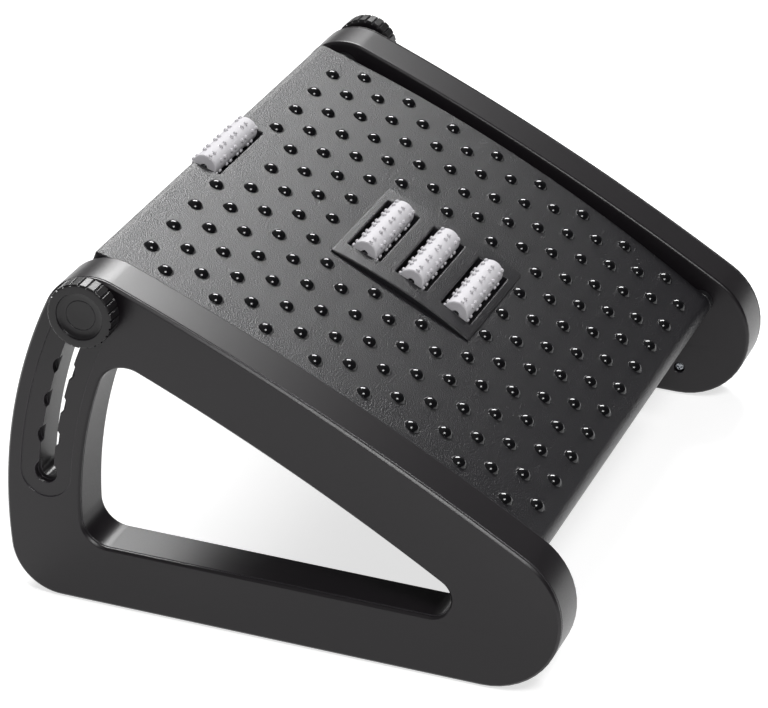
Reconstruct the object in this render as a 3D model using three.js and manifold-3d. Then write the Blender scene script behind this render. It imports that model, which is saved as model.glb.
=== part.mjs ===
// Tilting under-desk footrest: two hollow side frames carry an arched foot plate on a steel rod at
// the heel, and two clamp bolts hold the toe end in one of six notches.
// Millimetres. X runs across the width, +Y towards the toes, +Z up. The origin is on the floor,
// under the middle of the footrest. The rest pose is the steepest notch.
import * as THREE from 'three';
import { mergeVertices } from 'three/addons/utils/BufferGeometryUtils.js';
import Module from 'manifold-3d';

const wasm = await Module();
wasm.setup();

// Whole object
const FRAMES_WIDTH = 454;
const FRAME_THICKNESS = 33.5;
const SIDE_GAP = 6.5;
const PIVOT_FROM_HEEL = 34.5;
const PIVOT_HEIGHT = 70.9;
const CLAMP_RADIUS = 283.5;
const LOWEST_NOTCH_DEG = 2;
const NOTCH_STEP_DEG = 4.7;
const NOTCH_COUNT = 6;

// Side frame outline, in the plane of the frame
const FOOT_PROUD = 1;
const NOSE_RADIUS = 45.5;
const TOE_CORNER_RADIUS = 32.6;
const TOP_CORNER_RADIUS = 31;
const TOP_CORNER_DROP_DEG = 2.55;
const ARM_OUTSIDE_OF_SLOT = 24.5;
const ARM_INSIDE_OF_SLOT = 22.1;
const TOP_EDGE_RADIUS = 1800;
const BOTTOM_BAR_HEIGHT = 37.5;
const WINDOW_TOE_RADIUS = 17.8;
const WINDOW_TOP_RADIUS = 17.8;
const WINDOW_HEEL_RADIUS = 12.5;
const WINDOW_TOP_EDGE_RADIUS = 1500;
const NOSE_TO_WINDOW = 66.1;
const WINDOW_TOP_DROP_DEG = 9.2;

// Side frame build: an open body closed by an outer cover
const COVER_THICKNESS = 3;
const FRAME_WALL = 3;
const INNER_WALL = 3.5;
const RIB_THICKNESS = 2;
const RIB_SHORT_OF_COVER = 3;
const TOP_RIB_COUNT = 5;
const BAR_RIB_COUNT = 4;
const SLOT_WIDTH = 9.2;
const INNER_SLOT_WIDTH = 15.4;
const INNER_SLOT_DEPTH = 7.5;
const TRACK_WIDTH = 31.6;
const TRACK_DEPTH = 0.8;
const SCALLOP_DIAMETER = 14.2;
const SCALLOP_DEPTH = 4.5;
const TUNNEL_WALL = 6;

// Screws that close each frame
const POST_RADIUS = 5.6;
const SCREW_HEAD_RADIUS = 3.4;
const SCREW_HEAD_HEIGHT = 2.2;
const SCREW_SHANK_RADIUS = 1.5;
const SCREW_LENGTH = 20;
const SCREW_HEAD_DEPTH = 4;
const SCREW_SEAT_THICKNESS = 8;
const TOP_POST_SHARE = 0.42;

// Rubber feet
const FOOT_LENGTH = 46;
const FOOT_WIDTH = 20;
const FOOT_THICKNESS = 2.6;
const FOOT_FROM_END = 16;

// Foot plate, an arched shell with a rolled heel edge
const PLATE_ARCH_RADIUS = 1108;
const PLATE_PAST_CLAMP = 19.8;
const PLATE_EDGE_HEIGHT = 7.9;
const BARREL_RADIUS = 8.1;
const PLATE_SKIN = 3;
const TOE_SKIRT_DEPTH = 19;
const HOLLOW_FROM_BARREL = 2.6;
const PLATE_RIB_THICKNESS = 2.2;
const PLATE_RIB_DEPTH = 10;
const DOME_COLUMNS = 11;
const DOME_ROWS = 17;
const DOME_FIRST_ROW_SHARE = 1.3;
const DOME_RADIUS = 4.7;
const DOME_TOP_SHARE = 0.55;
const DOME_HEIGHT = 2.9;

// Massage rollers
const ROLLER_LENGTH = 70;
const ROLLER_RADIUS = 8.15;
const NUB_HEIGHT = 1.3;
const NUB_WIDTH = 2.8;
const NUB_TOP_SHARE = 0.6;
const NUB_ROWS = 8;
const NUBS_PER_ROW = 4;
const NUB_STAGGER_SHARES = [0.3, 0.7];
const ROLLER_RECESS_RADIUS = 3.4;
const ROLLER_RECESS_DEPTH = 2;
const AXLE_RADIUS = 1.5;
const AXLE_PAST_SLOT = 4.9;
const ROLLER_SINK = 2.2;
const ROLLER_END_ROOM = 2.1;
const ROLLER_SIDE_ROOM = 1.8;
const TOE_ROLLER_FROM_EDGE = 6.8;
const TOE_ROLLER_BACK_ROOM = 1.95;

// Roller console let into the foot plate, with a tray screwed up under it
const CONSOLE_BESIDE_SLOTS = 15.6;
const CONSOLE_PAST_SLOTS = 5.25;
const CONSOLE_FROM_TOE = 153;
const CONSOLE_ROLLERS = 3;
const CONSOLE_ROLLER_PITCH = 33.3;
const CONSOLE_CROWN_RADIUS = 366;
const CONSOLE_RISE = 3.6;
const CONSOLE_LIP = 3.6;
const CONSOLE_DEPTH = 10;
const CORE_WALL = 2.2;
const TRAY_WALL = 2;
const TRAY_SCREW_RADIUS = 1.3;
const TRAY_SCREW_LENGTH = 8;
const TRAY_SCREW_HEAD_RADIUS = 2.6;
const TRAY_SCREW_HEAD_HEIGHT = 1.6;

// Toe roller cradle
const CRADLE_WALL = 2.4;
const CRADLE_CHEEK = 6;
const CRADLE_SCREW_COVER = 0.8;

// Heel rod
const ROD_RADIUS = 4;
const ROD_SOCKET_DEPTH = 16;
const ROD_BOSS_WALL = 3.6;
const ROD_SCREW_RADIUS = 2.2;
const ROD_SCREW_HEAD_RADIUS = 4.6;
const ROD_SCREW_HEAD_HEIGHT = 3;
const ROD_SCREW_DEPTH = 12;
const ROD_END_WALL = 3;
const BUSH_WALL = 1.3;
const BUSH_LENGTH = 14;

// Toe clamp: bolt, captive nut, notch collar and knob
const BOLT_RADIUS = 3.9;
const BOLT_HEAD_ACROSS_FLATS = 13;
const BOLT_HEAD_HEIGHT = 3.6;
const BOLT_PAST_NUT = 8;
const THREAD_PITCH = 1.25;
const TURNS_TO_TIGHTEN = 2;
const COLLAR_LENGTH = 2;
const COLLAR_RADIUS = 6.4;
const FLANGE_RADIUS = 12;
const FLANGE_THICKNESS = 1.8;
const NUT_ACROSS_FLATS = 13;
const NUT_THICKNESS = 6.5;
const NUT_BOSS_DEPTH = 10;
const NUT_BOSS_WALL = 3;
const PAD_RADIUS = 10;
const KNOB_RADIUS = 19.8;
const KNOB_THICKNESS = 12.6;
const KNOB_RIDGES = 24;
const KNOB_RIDGE_HEIGHT = 1.3;
const KNOB_DISH_RADIUS = 14.4;
const KNOB_DISH_DEPTH = 2.8;
const KNOB_BACK_WALL = 4.4;
const KNOB_CAP_RADIUS = 9;
const KNOB_CAP_THICKNESS = 1.6;

// Clearances and fineness
const GAP = 0.3;
const OVERRUN = 2;
const FACET_SAG = 0.2;
const ROUND_SIDES = 16;
const DISH_SIDES = 24;
const SMALL_SIDES = 8;
const DOME_SIDES = 5;
const NUB_SIDES = 3;
const HEX_SIDES = 6;

// Worked out from the sizes above
const HALF_WIDTH = FRAMES_WIDTH / 2;
const FRAME_INNER_X = HALF_WIDTH - FRAME_THICKNESS;
const PLATE_HALF_WIDTH = FRAME_INNER_X - SIDE_GAP;
const ARM_RADIUS = CLAMP_RADIUS + ARM_OUTSIDE_OF_SLOT;
const WINDOW_ARM_RADIUS = CLAMP_RADIUS - ARM_INSIDE_OF_SLOT;
const DEPTH = PIVOT_FROM_HEEL + ARM_RADIUS;
const PIVOT_Y = PIVOT_FROM_HEEL - DEPTH / 2;
const TOP_NOTCH_DEG = LOWEST_NOTCH_DEG + NOTCH_STEP_DEG * (NOTCH_COUNT - 1);
const DOME_PITCH = 2 * PLATE_HALF_WIDTH / DOME_COLUMNS;
const BODY_DEPTH = FRAME_THICKNESS - COVER_THICKNESS;
const PLATE_REACH = CLAMP_RADIUS + PLATE_PAST_CLAMP;
const ROLLER_SLOT_LENGTH = ROLLER_LENGTH + ROLLER_END_ROOM * 2;
const ROLLER_SLOT_WIDTH = (ROLLER_RADIUS + NUB_HEIGHT + ROLLER_SIDE_ROOM) * 2;
const TOE_SLOT_DEPTH = TOE_ROLLER_FROM_EDGE + ROLLER_RADIUS + NUB_HEIGHT + TOE_ROLLER_BACK_ROOM;
const AXLE_LENGTH = ROLLER_SLOT_LENGTH + AXLE_PAST_SLOT * 2;
const CONSOLE_WIDTH = ROLLER_SLOT_LENGTH + CONSOLE_BESIDE_SLOTS * 2;
const CONSOLE_SLOTS_LENGTH = CONSOLE_ROLLER_PITCH * (CONSOLE_ROLLERS - 1) + ROLLER_SLOT_WIDTH;
const CONSOLE_LENGTH = CONSOLE_SLOTS_LENGTH + CONSOLE_PAST_SLOTS * 2;
const TRACK_FLOOR = FRAME_THICKNESS - TRACK_DEPTH;
const TUNNEL_HALF = SLOT_WIDTH / 2 + TUNNEL_WALL;
const CLAMP_BACKED_OFF = THREAD_PITCH * TURNS_TO_TIGHTEN;

const PLASTIC = { color: 0x2b2a2d, roughness: 0.5, metalness: 0 };
const PLATE_PLASTIC = { color: 0x313033, roughness: 0.62, metalness: 0 };
const ROLLER_PLASTIC = { color: 0xe2e1e4, roughness: 0.45, metalness: 0 };
const STEEL = { color: 0xa9abad, roughness: 0.35, metalness: 1 };
const NYLON = { color: 0x5a5a5c, roughness: 0.55, metalness: 0 };
const RUBBER = { color: 0x1b1b1c, roughness: 0.85, metalness: 0 };

const radians = THREE.MathUtils.degToRad;

// A closed three.js geometry as a solid that can be cut and joined.
function toSolid(geometry) {
  geometry.deleteAttribute('normal');
  geometry.deleteAttribute('uv');
  const merged = mergeVertices(geometry);
  const mesh = new wasm.Mesh({
    numProp: 3,
    vertProperties: new Float32Array(merged.attributes.position.array),
    triVerts: new Uint32Array(merged.index.array),
  });
  return new wasm.Manifold(mesh);
}

function toGeometry(solid) {
  const { vertProperties, triVerts } = solid.getMesh();
  const geometry = new THREE.BufferGeometry();
  geometry.setAttribute('position', new THREE.BufferAttribute(vertProperties, 3));
  geometry.setIndex(new THREE.BufferAttribute(triVerts, 1));
  geometry.computeVertexNormals();
  return geometry;
}

function joined(solids) {
  return solids.reduce((whole, piece) => whole.add(piece));
}

// Points on an arc, ends included, with chords no further than FACET_SAG from the curve.
function arc(centre, radius, from, to) {
  const step = 2 * Math.acos(1 - FACET_SAG / Math.max(radius, FACET_SAG * 2));
  const count = Math.max(1, Math.ceil(Math.abs(to - from) / step));
  const points = [];
  for (let i = 0; i <= count; i += 1) {
    const angle = from + (to - from) * i / count;
    points.push([centre[0] + radius * Math.cos(angle), centre[1] + radius * Math.sin(angle)]);
  }
  return points;
}

function polygon(centre, radius, sides, turn = 0) {
  const points = [];
  for (let i = 0; i < sides; i += 1) {
    const angle = turn + 2 * Math.PI * i / sides;
    points.push([centre[0] + radius * Math.cos(angle), centre[1] + radius * Math.sin(angle)]);
  }
  return points;
}

// A closed outline in Y and Z, swept across from x0 to x1.
function prism(outline, x0, x1, hole = null) {
  const shape = new THREE.Shape(outline.map(([y, z]) => new THREE.Vector2(y, z)));
  if (hole) {
    shape.holes.push(new THREE.Path(hole.map(([y, z]) => new THREE.Vector2(y, z))));
  }
  const low = Math.min(x0, x1);
  const geometry = new THREE.ExtrudeGeometry(shape, { depth: Math.abs(x1 - x0), bevelEnabled: false });
  const sideways = new THREE.Matrix4().makeBasis(
    new THREE.Vector3(0, 1, 0),
    new THREE.Vector3(0, 0, 1),
    new THREE.Vector3(1, 0, 0),
  );
  geometry.applyMatrix4(sideways);
  geometry.translate(low, 0, 0);
  return toSolid(geometry);
}

function drum(centre, radius, x0, x1, sides = ROUND_SIDES) {
  return prism(polygon(centre, radius, sides, Math.PI / sides), x0, x1);
}

function hexDrum(centre, acrossFlats, x0, x1) {
  return drum(centre, acrossFlats / 2 / Math.cos(Math.PI / HEX_SIDES), x0, x1, HEX_SIDES);
}

function block(x0, x1, y0, y1, z0, z1) {
  return prism([[y0, z0], [y1, z0], [y1, z1], [y0, z1]], x0, x1);
}

// Side frame outlines. Corners are circles, joined by straight edges (radius 0) or by large arcs
// that bow outwards. The grow value offsets the whole outline.
function edgeNormals(a, b, radius) {
  const along = Math.atan2(b.at[1] - a.at[1], b.at[0] - a.at[0]);
  const distance = Math.hypot(b.at[0] - a.at[0], b.at[1] - a.at[1]);
  if (radius === 0) {
    const normal = along - Math.acos((a.r - b.r) / distance);
    return { leave: normal, arrive: normal, curve: [] };
  }
  const toA = radius - a.r;
  const toB = radius - b.r;
  const inner = Math.acos((toA ** 2 + distance ** 2 - toB ** 2) / (2 * toA * distance));
  const centre = [a.at[0] + toA * Math.cos(along + inner), a.at[1] + toA * Math.sin(along + inner)];
  const leave = Math.atan2(a.at[1] - centre[1], a.at[0] - centre[0]);
  let arrive = Math.atan2(b.at[1] - centre[1], b.at[0] - centre[0]);
  if (arrive < leave) {
    arrive += 2 * Math.PI;
  }
  return { leave, arrive, curve: arc(centre, radius, leave, arrive).slice(1, -1) };
}

function roundedLoop(corners, edgeRadii, grow = 0) {
  const grown = corners.map(({ at, r }) => ({ at, r: r + grow }));
  const edges = grown.map((corner, i) => {
    const radius = edgeRadii[i] === 0 ? 0 : edgeRadii[i] + grow;
    return edgeNormals(corner, grown[(i + 1) % grown.length], radius);
  });
  return grown.flatMap((corner, i) => {
    const before = edges[(i + edges.length - 1) % edges.length];
    const turn = THREE.MathUtils.euclideanModulo(edges[i].leave - before.arrive, 2 * Math.PI);
    const bend = arc(corner.at, corner.r, before.arrive, before.arrive + turn);
    return [...bend, ...edges[i].curve];
  });
}

function onPivotCircle(radius, degrees) {
  const angle = radians(degrees);
  return [PIVOT_Y + radius * Math.cos(angle), PIVOT_HEIGHT + radius * Math.sin(angle)];
}

// A point at a given height on a circle round the pivot, on the toe side.
function onArmAtHeight(radius, height) {
  return [PIVOT_Y + Math.sqrt(radius ** 2 - (height - PIVOT_HEIGHT) ** 2), height];
}

function frameOutline(grow = 0) {
  const nose = { at: [NOSE_RADIUS - DEPTH / 2, FOOT_PROUD + NOSE_RADIUS], r: NOSE_RADIUS };
  const toeHeight = FOOT_PROUD + TOE_CORNER_RADIUS;
  const toe = { at: onArmAtHeight(ARM_RADIUS - TOE_CORNER_RADIUS, toeHeight), r: TOE_CORNER_RADIUS };
  const topDeg = TOP_NOTCH_DEG - TOP_CORNER_DROP_DEG;
  const top = { at: onPivotCircle(ARM_RADIUS - TOP_CORNER_RADIUS, topDeg), r: TOP_CORNER_RADIUS };
  return roundedLoop([nose, toe, top], [0, ARM_RADIUS, TOP_EDGE_RADIUS], grow);
}

function windowOutline(grow = 0) {
  const bottom = FOOT_PROUD + BOTTOM_BAR_HEIGHT;
  const heelY = NOSE_TO_WINDOW + WINDOW_HEEL_RADIUS - DEPTH / 2;
  const heel = { at: [heelY, bottom + WINDOW_HEEL_RADIUS], r: WINDOW_HEEL_RADIUS };
  const toeCentre = onArmAtHeight(WINDOW_ARM_RADIUS - WINDOW_TOE_RADIUS, bottom + WINDOW_TOE_RADIUS);
  const toe = { at: toeCentre, r: WINDOW_TOE_RADIUS };
  const topDeg = TOP_NOTCH_DEG - WINDOW_TOP_DROP_DEG;
  const top = { at: onPivotCircle(WINDOW_ARM_RADIUS - WINDOW_TOP_RADIUS, topDeg), r: WINDOW_TOP_RADIUS };
  return roundedLoop([heel, toe, top], [0, WINDOW_ARM_RADIUS, WINDOW_TOP_EDGE_RADIUS], grow);
}

// A curved slot round the pivot, with round ends at the first and last notch.
function slotOutline(halfWidth) {
  const pivot = [PIVOT_Y, PIVOT_HEIGHT];
  const low = radians(LOWEST_NOTCH_DEG);
  const high = radians(TOP_NOTCH_DEG);
  return [
    ...arc(pivot, CLAMP_RADIUS + halfWidth, low, high),
    ...arc(onPivotCircle(CLAMP_RADIUS, TOP_NOTCH_DEG), halfWidth, high, high + Math.PI).slice(1),
    ...arc(pivot, CLAMP_RADIUS - halfWidth, high, low).slice(1),
    ...arc(onPivotCircle(CLAMP_RADIUS, LOWEST_NOTCH_DEG), halfWidth, low - Math.PI, low).slice(1, -1),
  ];
}

// Places shared by a frame's body, cover, ribs and screws.
function armMiddle(share) {
  const top = frameOutlineTopAt(share);
  const under = windowTopAt(share);
  return [(top[0] + under[0]) / 2, (top[1] + under[1]) / 2];
}

function windowSpanY(share) {
  const heel = NOSE_TO_WINDOW + WINDOW_HEEL_RADIUS - DEPTH / 2;
  const toe = PIVOT_Y + WINDOW_ARM_RADIUS - WINDOW_TOE_RADIUS * 2;
  return heel + (toe - heel) * share;
}

function heightAt(outline, y) {
  let best = 0;
  outline.forEach(([y0, z0], i) => {
    const [y1, z1] = outline[(i + 1) % outline.length];
    if ((y0 - y) * (y1 - y) <= 0 && y0 !== y1) {
      best = Math.max(best, z0 + (z1 - z0) * (y - y0) / (y1 - y0));
    }
  });
  return best;
}

function frameOutlineTopAt(share) {
  const y = windowSpanY(share);
  return [y, heightAt(frameOutline(), y)];
}

function windowTopAt(share) {
  const y = windowSpanY(share);
  return [y, heightAt(windowOutline(), y)];
}

const barMiddle = FOOT_PROUD + BOTTOM_BAR_HEIGHT / 2;
const noseCentre = [NOSE_RADIUS - DEPTH / 2, FOOT_PROUD + NOSE_RADIUS];
const screwPlaces = [
  [noseCentre[0], barMiddle],
  [PIVOT_Y + CLAMP_RADIUS - TOE_CORNER_RADIUS / 2, barMiddle],
  armMiddle(TOP_POST_SHARE),
  onPivotCircle(WINDOW_ARM_RADIUS - WINDOW_TOP_RADIUS / 2, TOP_NOTCH_DEG - NOTCH_STEP_DEG / 2),
];

// Distances into a frame count from its inner face; side is -1 on the left and 1 on the right.
function frameX(side, depth) {
  return side * (FRAME_INNER_X + depth);
}

function frameRibs(side) {
  const from = frameX(side, INNER_WALL - OVERRUN / 2);
  const to = frameX(side, BODY_DEPTH - RIB_SHORT_OF_COVER);
  const half = RIB_THICKNESS / 2;
  const ribs = [];
  for (let i = 1; i <= TOP_RIB_COUNT; i += 1) {
    const share = i / (TOP_RIB_COUNT + 1);
    const y = windowSpanY(share);
    ribs.push(block(from, to, y - half, y + half, windowTopAt(share)[1], frameOutlineTopAt(share)[1]));
  }
  for (let i = 1; i <= BAR_RIB_COUNT; i += 1) {
    const y = windowSpanY(i / (BAR_RIB_COUNT + 1));
    ribs.push(block(from, to, y - half, y + half, FOOT_PROUD, FOOT_PROUD + BOTTOM_BAR_HEIGHT));
  }
  return joined(ribs);
}

function footOutline(end, grow) {
  const half = (FOOT_LENGTH - FOOT_WIDTH) / 2;
  const middle = end < 0
    ? NOSE_RADIUS - DEPTH / 2 + FOOT_FROM_END
    : onArmAtHeight(ARM_RADIUS - TOE_CORNER_RADIUS, FOOT_PROUD + TOE_CORNER_RADIUS)[0] - FOOT_FROM_END;
  const heelEnd = middle - half;
  const toeEnd = middle + half;
  const x = FRAME_INNER_X + BODY_DEPTH / 2;
  return { heelEnd, toeEnd, x, radius: FOOT_WIDTH / 2 + grow };
}

// A flat stadium-shaped pad lying along Y.
function pad(side, end, grow, z0, z1) {
  const { heelEnd, toeEnd, x, radius } = footOutline(end, grow);
  const shape = new THREE.Shape();
  shape.absarc(side * x, toeEnd, radius, 0, Math.PI, false);
  shape.absarc(side * x, heelEnd, radius, Math.PI, 2 * Math.PI, false);
  const geometry = new THREE.ExtrudeGeometry(shape, {
    depth: z1 - z0,
    bevelEnabled: false,
    curveSegments: SMALL_SIDES / 2,
  });
  geometry.translate(0, 0, z0);
  return toSolid(geometry);
}

function foot(side, end) {
  return pad(side, end, 0, 0, FOOT_THICKNESS);
}

function frameBody(side) {
  const x = (depth) => frameX(side, depth);
  const shell = prism(frameOutline(), x(0), x(BODY_DEPTH), windowOutline());
  const pocket = prism(frameOutline(-FRAME_WALL), x(INNER_WALL), x(BODY_DEPTH + OVERRUN))
    .subtract(prism(windowOutline(FRAME_WALL), x(0), x(BODY_DEPTH + OVERRUN * 2)))
    .subtract(frameRibs(side));
  const postEnd = x(SCREW_HEAD_DEPTH + SCREW_SEAT_THICKNESS);
  const posts = screwPlaces.map((at) => drum(at, POST_RADIUS, x(0), postEnd));
  const pivot = [PIVOT_Y, PIVOT_HEIGHT];
  const rodBoss = drum(pivot, ROD_RADIUS + GAP + ROD_BOSS_WALL, x(0), x(ROD_SOCKET_DEPTH + ROD_END_WALL));
  const rodSocket = drum(pivot, ROD_RADIUS + GAP, x(-OVERRUN), x(ROD_SOCKET_DEPTH + GAP));
  const rodScrewHole = drum(pivot, ROD_SCREW_RADIUS + GAP, x(0), x(BODY_DEPTH));
  const slot = prism(slotOutline(INNER_SLOT_WIDTH / 2), x(-OVERRUN), x(INNER_WALL + OVERRUN));
  const sockets = [-1, 1].map((end) => pad(side, end, GAP, -OVERRUN, FOOT_THICKNESS + GAP));
  const footSeats = [-1, 1].map((end) => {
    const { heelEnd, toeEnd, radius } = footOutline(end, GAP + RIB_THICKNESS);
    const top = FOOT_THICKNESS + GAP + RIB_THICKNESS;
    return block(x(0), x(BODY_DEPTH), heelEnd - radius, toeEnd + radius, FOOT_PROUD, top)
      .intersect(prism(frameOutline(), x(0), x(BODY_DEPTH)));
  });
  const headHoles = screwPlaces.map((at) => (
    drum(at, SCREW_HEAD_RADIUS + GAP, x(-OVERRUN), x(SCREW_HEAD_DEPTH), SMALL_SIDES)
  ));
  const shankHoles = screwPlaces.map((at) => (
    drum(at, SCREW_SHANK_RADIUS + GAP, x(0), x(BODY_DEPTH), SMALL_SIDES)
  ));
  return shell.subtract(pocket)
    .add(joined(posts)).add(rodBoss).add(joined(footSeats))
    .subtract(rodSocket).subtract(rodScrewHole).subtract(slot)
    .subtract(joined(sockets)).subtract(joined(headHoles)).subtract(joined(shankHoles));
}

function frameCover(side) {
  const x = (depth) => frameX(side, depth);
  const plate = prism(frameOutline(), x(BODY_DEPTH + GAP), x(FRAME_THICKNESS), windowOutline());
  const joinDepth = BODY_DEPTH + GAP + TRACK_DEPTH;
  const tunnel = prism(slotOutline(TUNNEL_HALF), x(INNER_WALL + GAP), x(joinDepth));
  const postStart = SCREW_HEAD_DEPTH + SCREW_SEAT_THICKNESS + GAP;
  const boreEnd = x(SCREW_HEAD_DEPTH + SCREW_LENGTH + OVERRUN);
  const posts = screwPlaces.map((at) => drum(at, POST_RADIUS - GAP, x(postStart), x(joinDepth)));
  const bores = screwPlaces.map((at) => (
    drum(at, SCREW_SHANK_RADIUS + GAP, x(postStart - OVERRUN), boreEnd, SMALL_SIDES)
  ));
  const track = prism(slotOutline(TRACK_WIDTH / 2), x(TRACK_FLOOR), x(FRAME_THICKNESS + OVERRUN));
  const slot = prism(slotOutline(SLOT_WIDTH / 2), x(0), x(FRAME_THICKNESS + OVERRUN));
  const innerSlot = prism(slotOutline(INNER_SLOT_WIDTH / 2), x(0), x(INNER_SLOT_DEPTH));
  const scallopFloor = x(TRACK_FLOOR - SCALLOP_DEPTH);
  const scallops = [];
  for (let i = 0; i < NOTCH_COUNT; i += 1) {
    const at = onPivotCircle(CLAMP_RADIUS, LOWEST_NOTCH_DEG + NOTCH_STEP_DEG * i);
    scallops.push(drum(at, SCALLOP_DIAMETER / 2, scallopFloor, x(FRAME_THICKNESS + OVERRUN)));
  }
  return plate.add(tunnel).add(joined(posts))
    .subtract(joined(bores)).subtract(track).subtract(slot).subtract(innerSlot).subtract(joined(scallops));
}

function frameScrew(side, at) {
  const x = (depth) => frameX(side, depth);
  const seat = SCREW_HEAD_DEPTH - GAP;
  const inHead = seat - SCREW_HEAD_HEIGHT / 2;
  return drum(at, SCREW_HEAD_RADIUS, x(seat - SCREW_HEAD_HEIGHT), x(seat), SMALL_SIDES)
    .add(drum(at, SCREW_SHANK_RADIUS, x(inHead), x(seat + SCREW_LENGTH), SMALL_SIDES));
}

// Foot plate, in its own frame: the pivot is the origin, +Y runs along the chord to the toe edge.
function archCentre() {
  const reach = PLATE_ARCH_RADIUS - BARREL_RADIUS;
  const toe = [PLATE_REACH, PLATE_EDGE_HEIGHT];
  const distance = Math.hypot(...toe);
  const along = Math.atan2(toe[1], toe[0]);
  const inner = Math.acos((reach ** 2 + distance ** 2 - PLATE_ARCH_RADIUS ** 2) / (2 * reach * distance));
  return [reach * Math.cos(along - inner), reach * Math.sin(along - inner)];
}

const arch = archCentre();
const toeAngle = Math.atan2(PLATE_EDGE_HEIGHT - arch[1], PLATE_REACH - arch[0]);
const heelAngle = Math.atan2(-arch[1], -arch[0]);

// Angle of the arch at a distance from the toe edge, measured along the plate's surface.
function archAngle(fromToe) {
  return toeAngle + fromToe / PLATE_ARCH_RADIUS;
}

function onPlate(fromToe, height) {
  const angle = archAngle(fromToe);
  const radius = PLATE_ARCH_RADIUS + height;
  return [arch[0] + radius * Math.cos(angle), arch[1] + radius * Math.sin(angle)];
}

const plateLength = (heelAngle - toeAngle) * PLATE_ARCH_RADIUS;

// Distances from the toe edge at which the plate is faceted, midway between two rows of domes.
function facets(from, to) {
  const lines = [];
  for (let d = (DOME_FIRST_ROW_SHARE + 1 / 2) * DOME_PITCH / 2; d < plateLength; d += DOME_PITCH) {
    if (d > from + GAP && d < to - GAP) {
      lines.push(d);
    }
  }
  return [from, ...lines, to];
}

// A curved strip between two distances from the toe edge and two heights over the surface.
function strip(from, to, low, high) {
  const lines = facets(from, to);
  const upper = lines.map((d) => onPlate(d, high));
  const lower = lines.map((d) => onPlate(d, low)).reverse();
  return [...upper, ...lower];
}

// A peg square to the plate's surface, at a distance from the toe edge and between two heights.
function peg(x, fromToe, low, high, radius) {
  const geometry = new THREE.CylinderGeometry(radius, radius, high - low, SMALL_SIDES);
  geometry.translate(0, (low + high) / 2, 0);
  geometry.rotateX(archAngle(fromToe));
  geometry.translate(x, ...onPlate(fromToe, 0));
  return toSolid(geometry);
}

const consoleStart = CONSOLE_FROM_TOE - CONSOLE_LENGTH / 2;
const consoleEnd = CONSOLE_FROM_TOE + CONSOLE_LENGTH / 2;
const clampPlace = [CLAMP_RADIUS, 0];

function domeAt(x, fromToe) {
  const angle = archAngle(fromToe);
  const geometry = new THREE.CylinderGeometry(
    DOME_RADIUS * DOME_TOP_SHARE,
    DOME_RADIUS,
    DOME_HEIGHT,
    DOME_SIDES,
  );
  geometry.translate(0, DOME_HEIGHT / 2 - GAP, 0);
  geometry.rotateX(angle);
  const [y, z] = onPlate(fromToe, 0);
  geometry.translate(x, y, z);
  return toSolid(geometry);
}

function domeIsClear(x, fromToe) {
  const onConsole = Math.abs(x) < CONSOLE_WIDTH / 2 + DOME_RADIUS
    && fromToe > consoleStart - DOME_RADIUS && fromToe < consoleEnd + DOME_RADIUS;
  const onToeSlot = Math.abs(x) < ROLLER_SLOT_LENGTH / 2 + DOME_RADIUS
    && fromToe < TOE_SLOT_DEPTH + DOME_RADIUS;
  return !onConsole && !onToeSlot;
}

function domes() {
  const solids = [];
  for (let row = 1; row <= DOME_ROWS; row += 1) {
    const fromToe = (row - 1 + DOME_FIRST_ROW_SHARE) * DOME_PITCH / 2;
    const staggered = row % 2 === 0;
    const count = staggered ? DOME_COLUMNS : DOME_COLUMNS - 1;
    for (let i = 0; i < count; i += 1) {
      const x = (i - (count - 1) / 2) * DOME_PITCH;
      if (domeIsClear(x, fromToe) && fromToe + DOME_RADIUS < plateLength) {
        solids.push(domeAt(x, fromToe));
      }
    }
  }
  return joined(solids);
}

function plateRibs() {
  const low = -PLATE_SKIN - PLATE_RIB_DEPTH;
  const half = PLATE_RIB_THICKNESS / 2;
  const inner = PLATE_HALF_WIDTH - PLATE_SKIN / 2;
  const longRib = (x) => prism(strip(0, plateLength, low, -PLATE_SKIN / 2), x - half, x + half);
  const crossRib = (fromToe) => (
    prism(strip(fromToe - half, fromToe + half, low, -PLATE_SKIN / 2), -inner, inner)
  );
  const besideConsole = (CONSOLE_WIDTH + DOME_PITCH) / 2;
  const outer = (besideConsole + PLATE_HALF_WIDTH) / 2;
  const ribs = [-outer, -besideConsole, besideConsole, outer].map(longRib);
  const beforeConsole = (TOE_SLOT_DEPTH + consoleStart) / 2;
  const afterConsole = (consoleEnd + plateLength) / 2;
  return joined([...ribs, crossRib(beforeConsole), crossRib(afterConsole)]);
}

function nutBoss(side) {
  const reach = NUT_ACROSS_FLATS / 2 + NUT_BOSS_WALL;
  const from = side * (PLATE_HALF_WIDTH - PLATE_SKIN / 2);
  const to = side * (PLATE_HALF_WIDTH - PLATE_SKIN - NUT_BOSS_DEPTH);
  return block(from, to, clampPlace[0] - reach, clampPlace[0] + reach, -reach, PLATE_EDGE_HEIGHT);
}

const nutOuterX = PLATE_HALF_WIDTH - PLATE_SKIN - NUT_BOSS_WALL;

// The plate's outline from the side: arched top, rolled heel edge and a skirt deeper at the toe.
function plateOutline() {
  const lines = facets(0, plateLength);
  const upper = lines.map((d) => onPlate(d, 0));
  const lower = lines.map((d) => {
    const depth = THREE.MathUtils.lerp(TOE_SKIRT_DEPTH, BARREL_RADIUS * 2, d / plateLength);
    return onPlate(d, -depth);
  });
  return [...upper, ...lower.reverse()];
}

// An axle's hole with a slot under it, through which the axle is dropped in from below.
function axleSlot(fromToe, height, low) {
  const half = AXLE_RADIUS + GAP;
  const reach = AXLE_LENGTH / 2 + GAP;
  return prism(strip(fromToe - half, fromToe + half, low, height), -reach, reach)
    .add(drum(onPlate(fromToe, height), half, -reach, reach, SMALL_SIDES));
}

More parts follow.
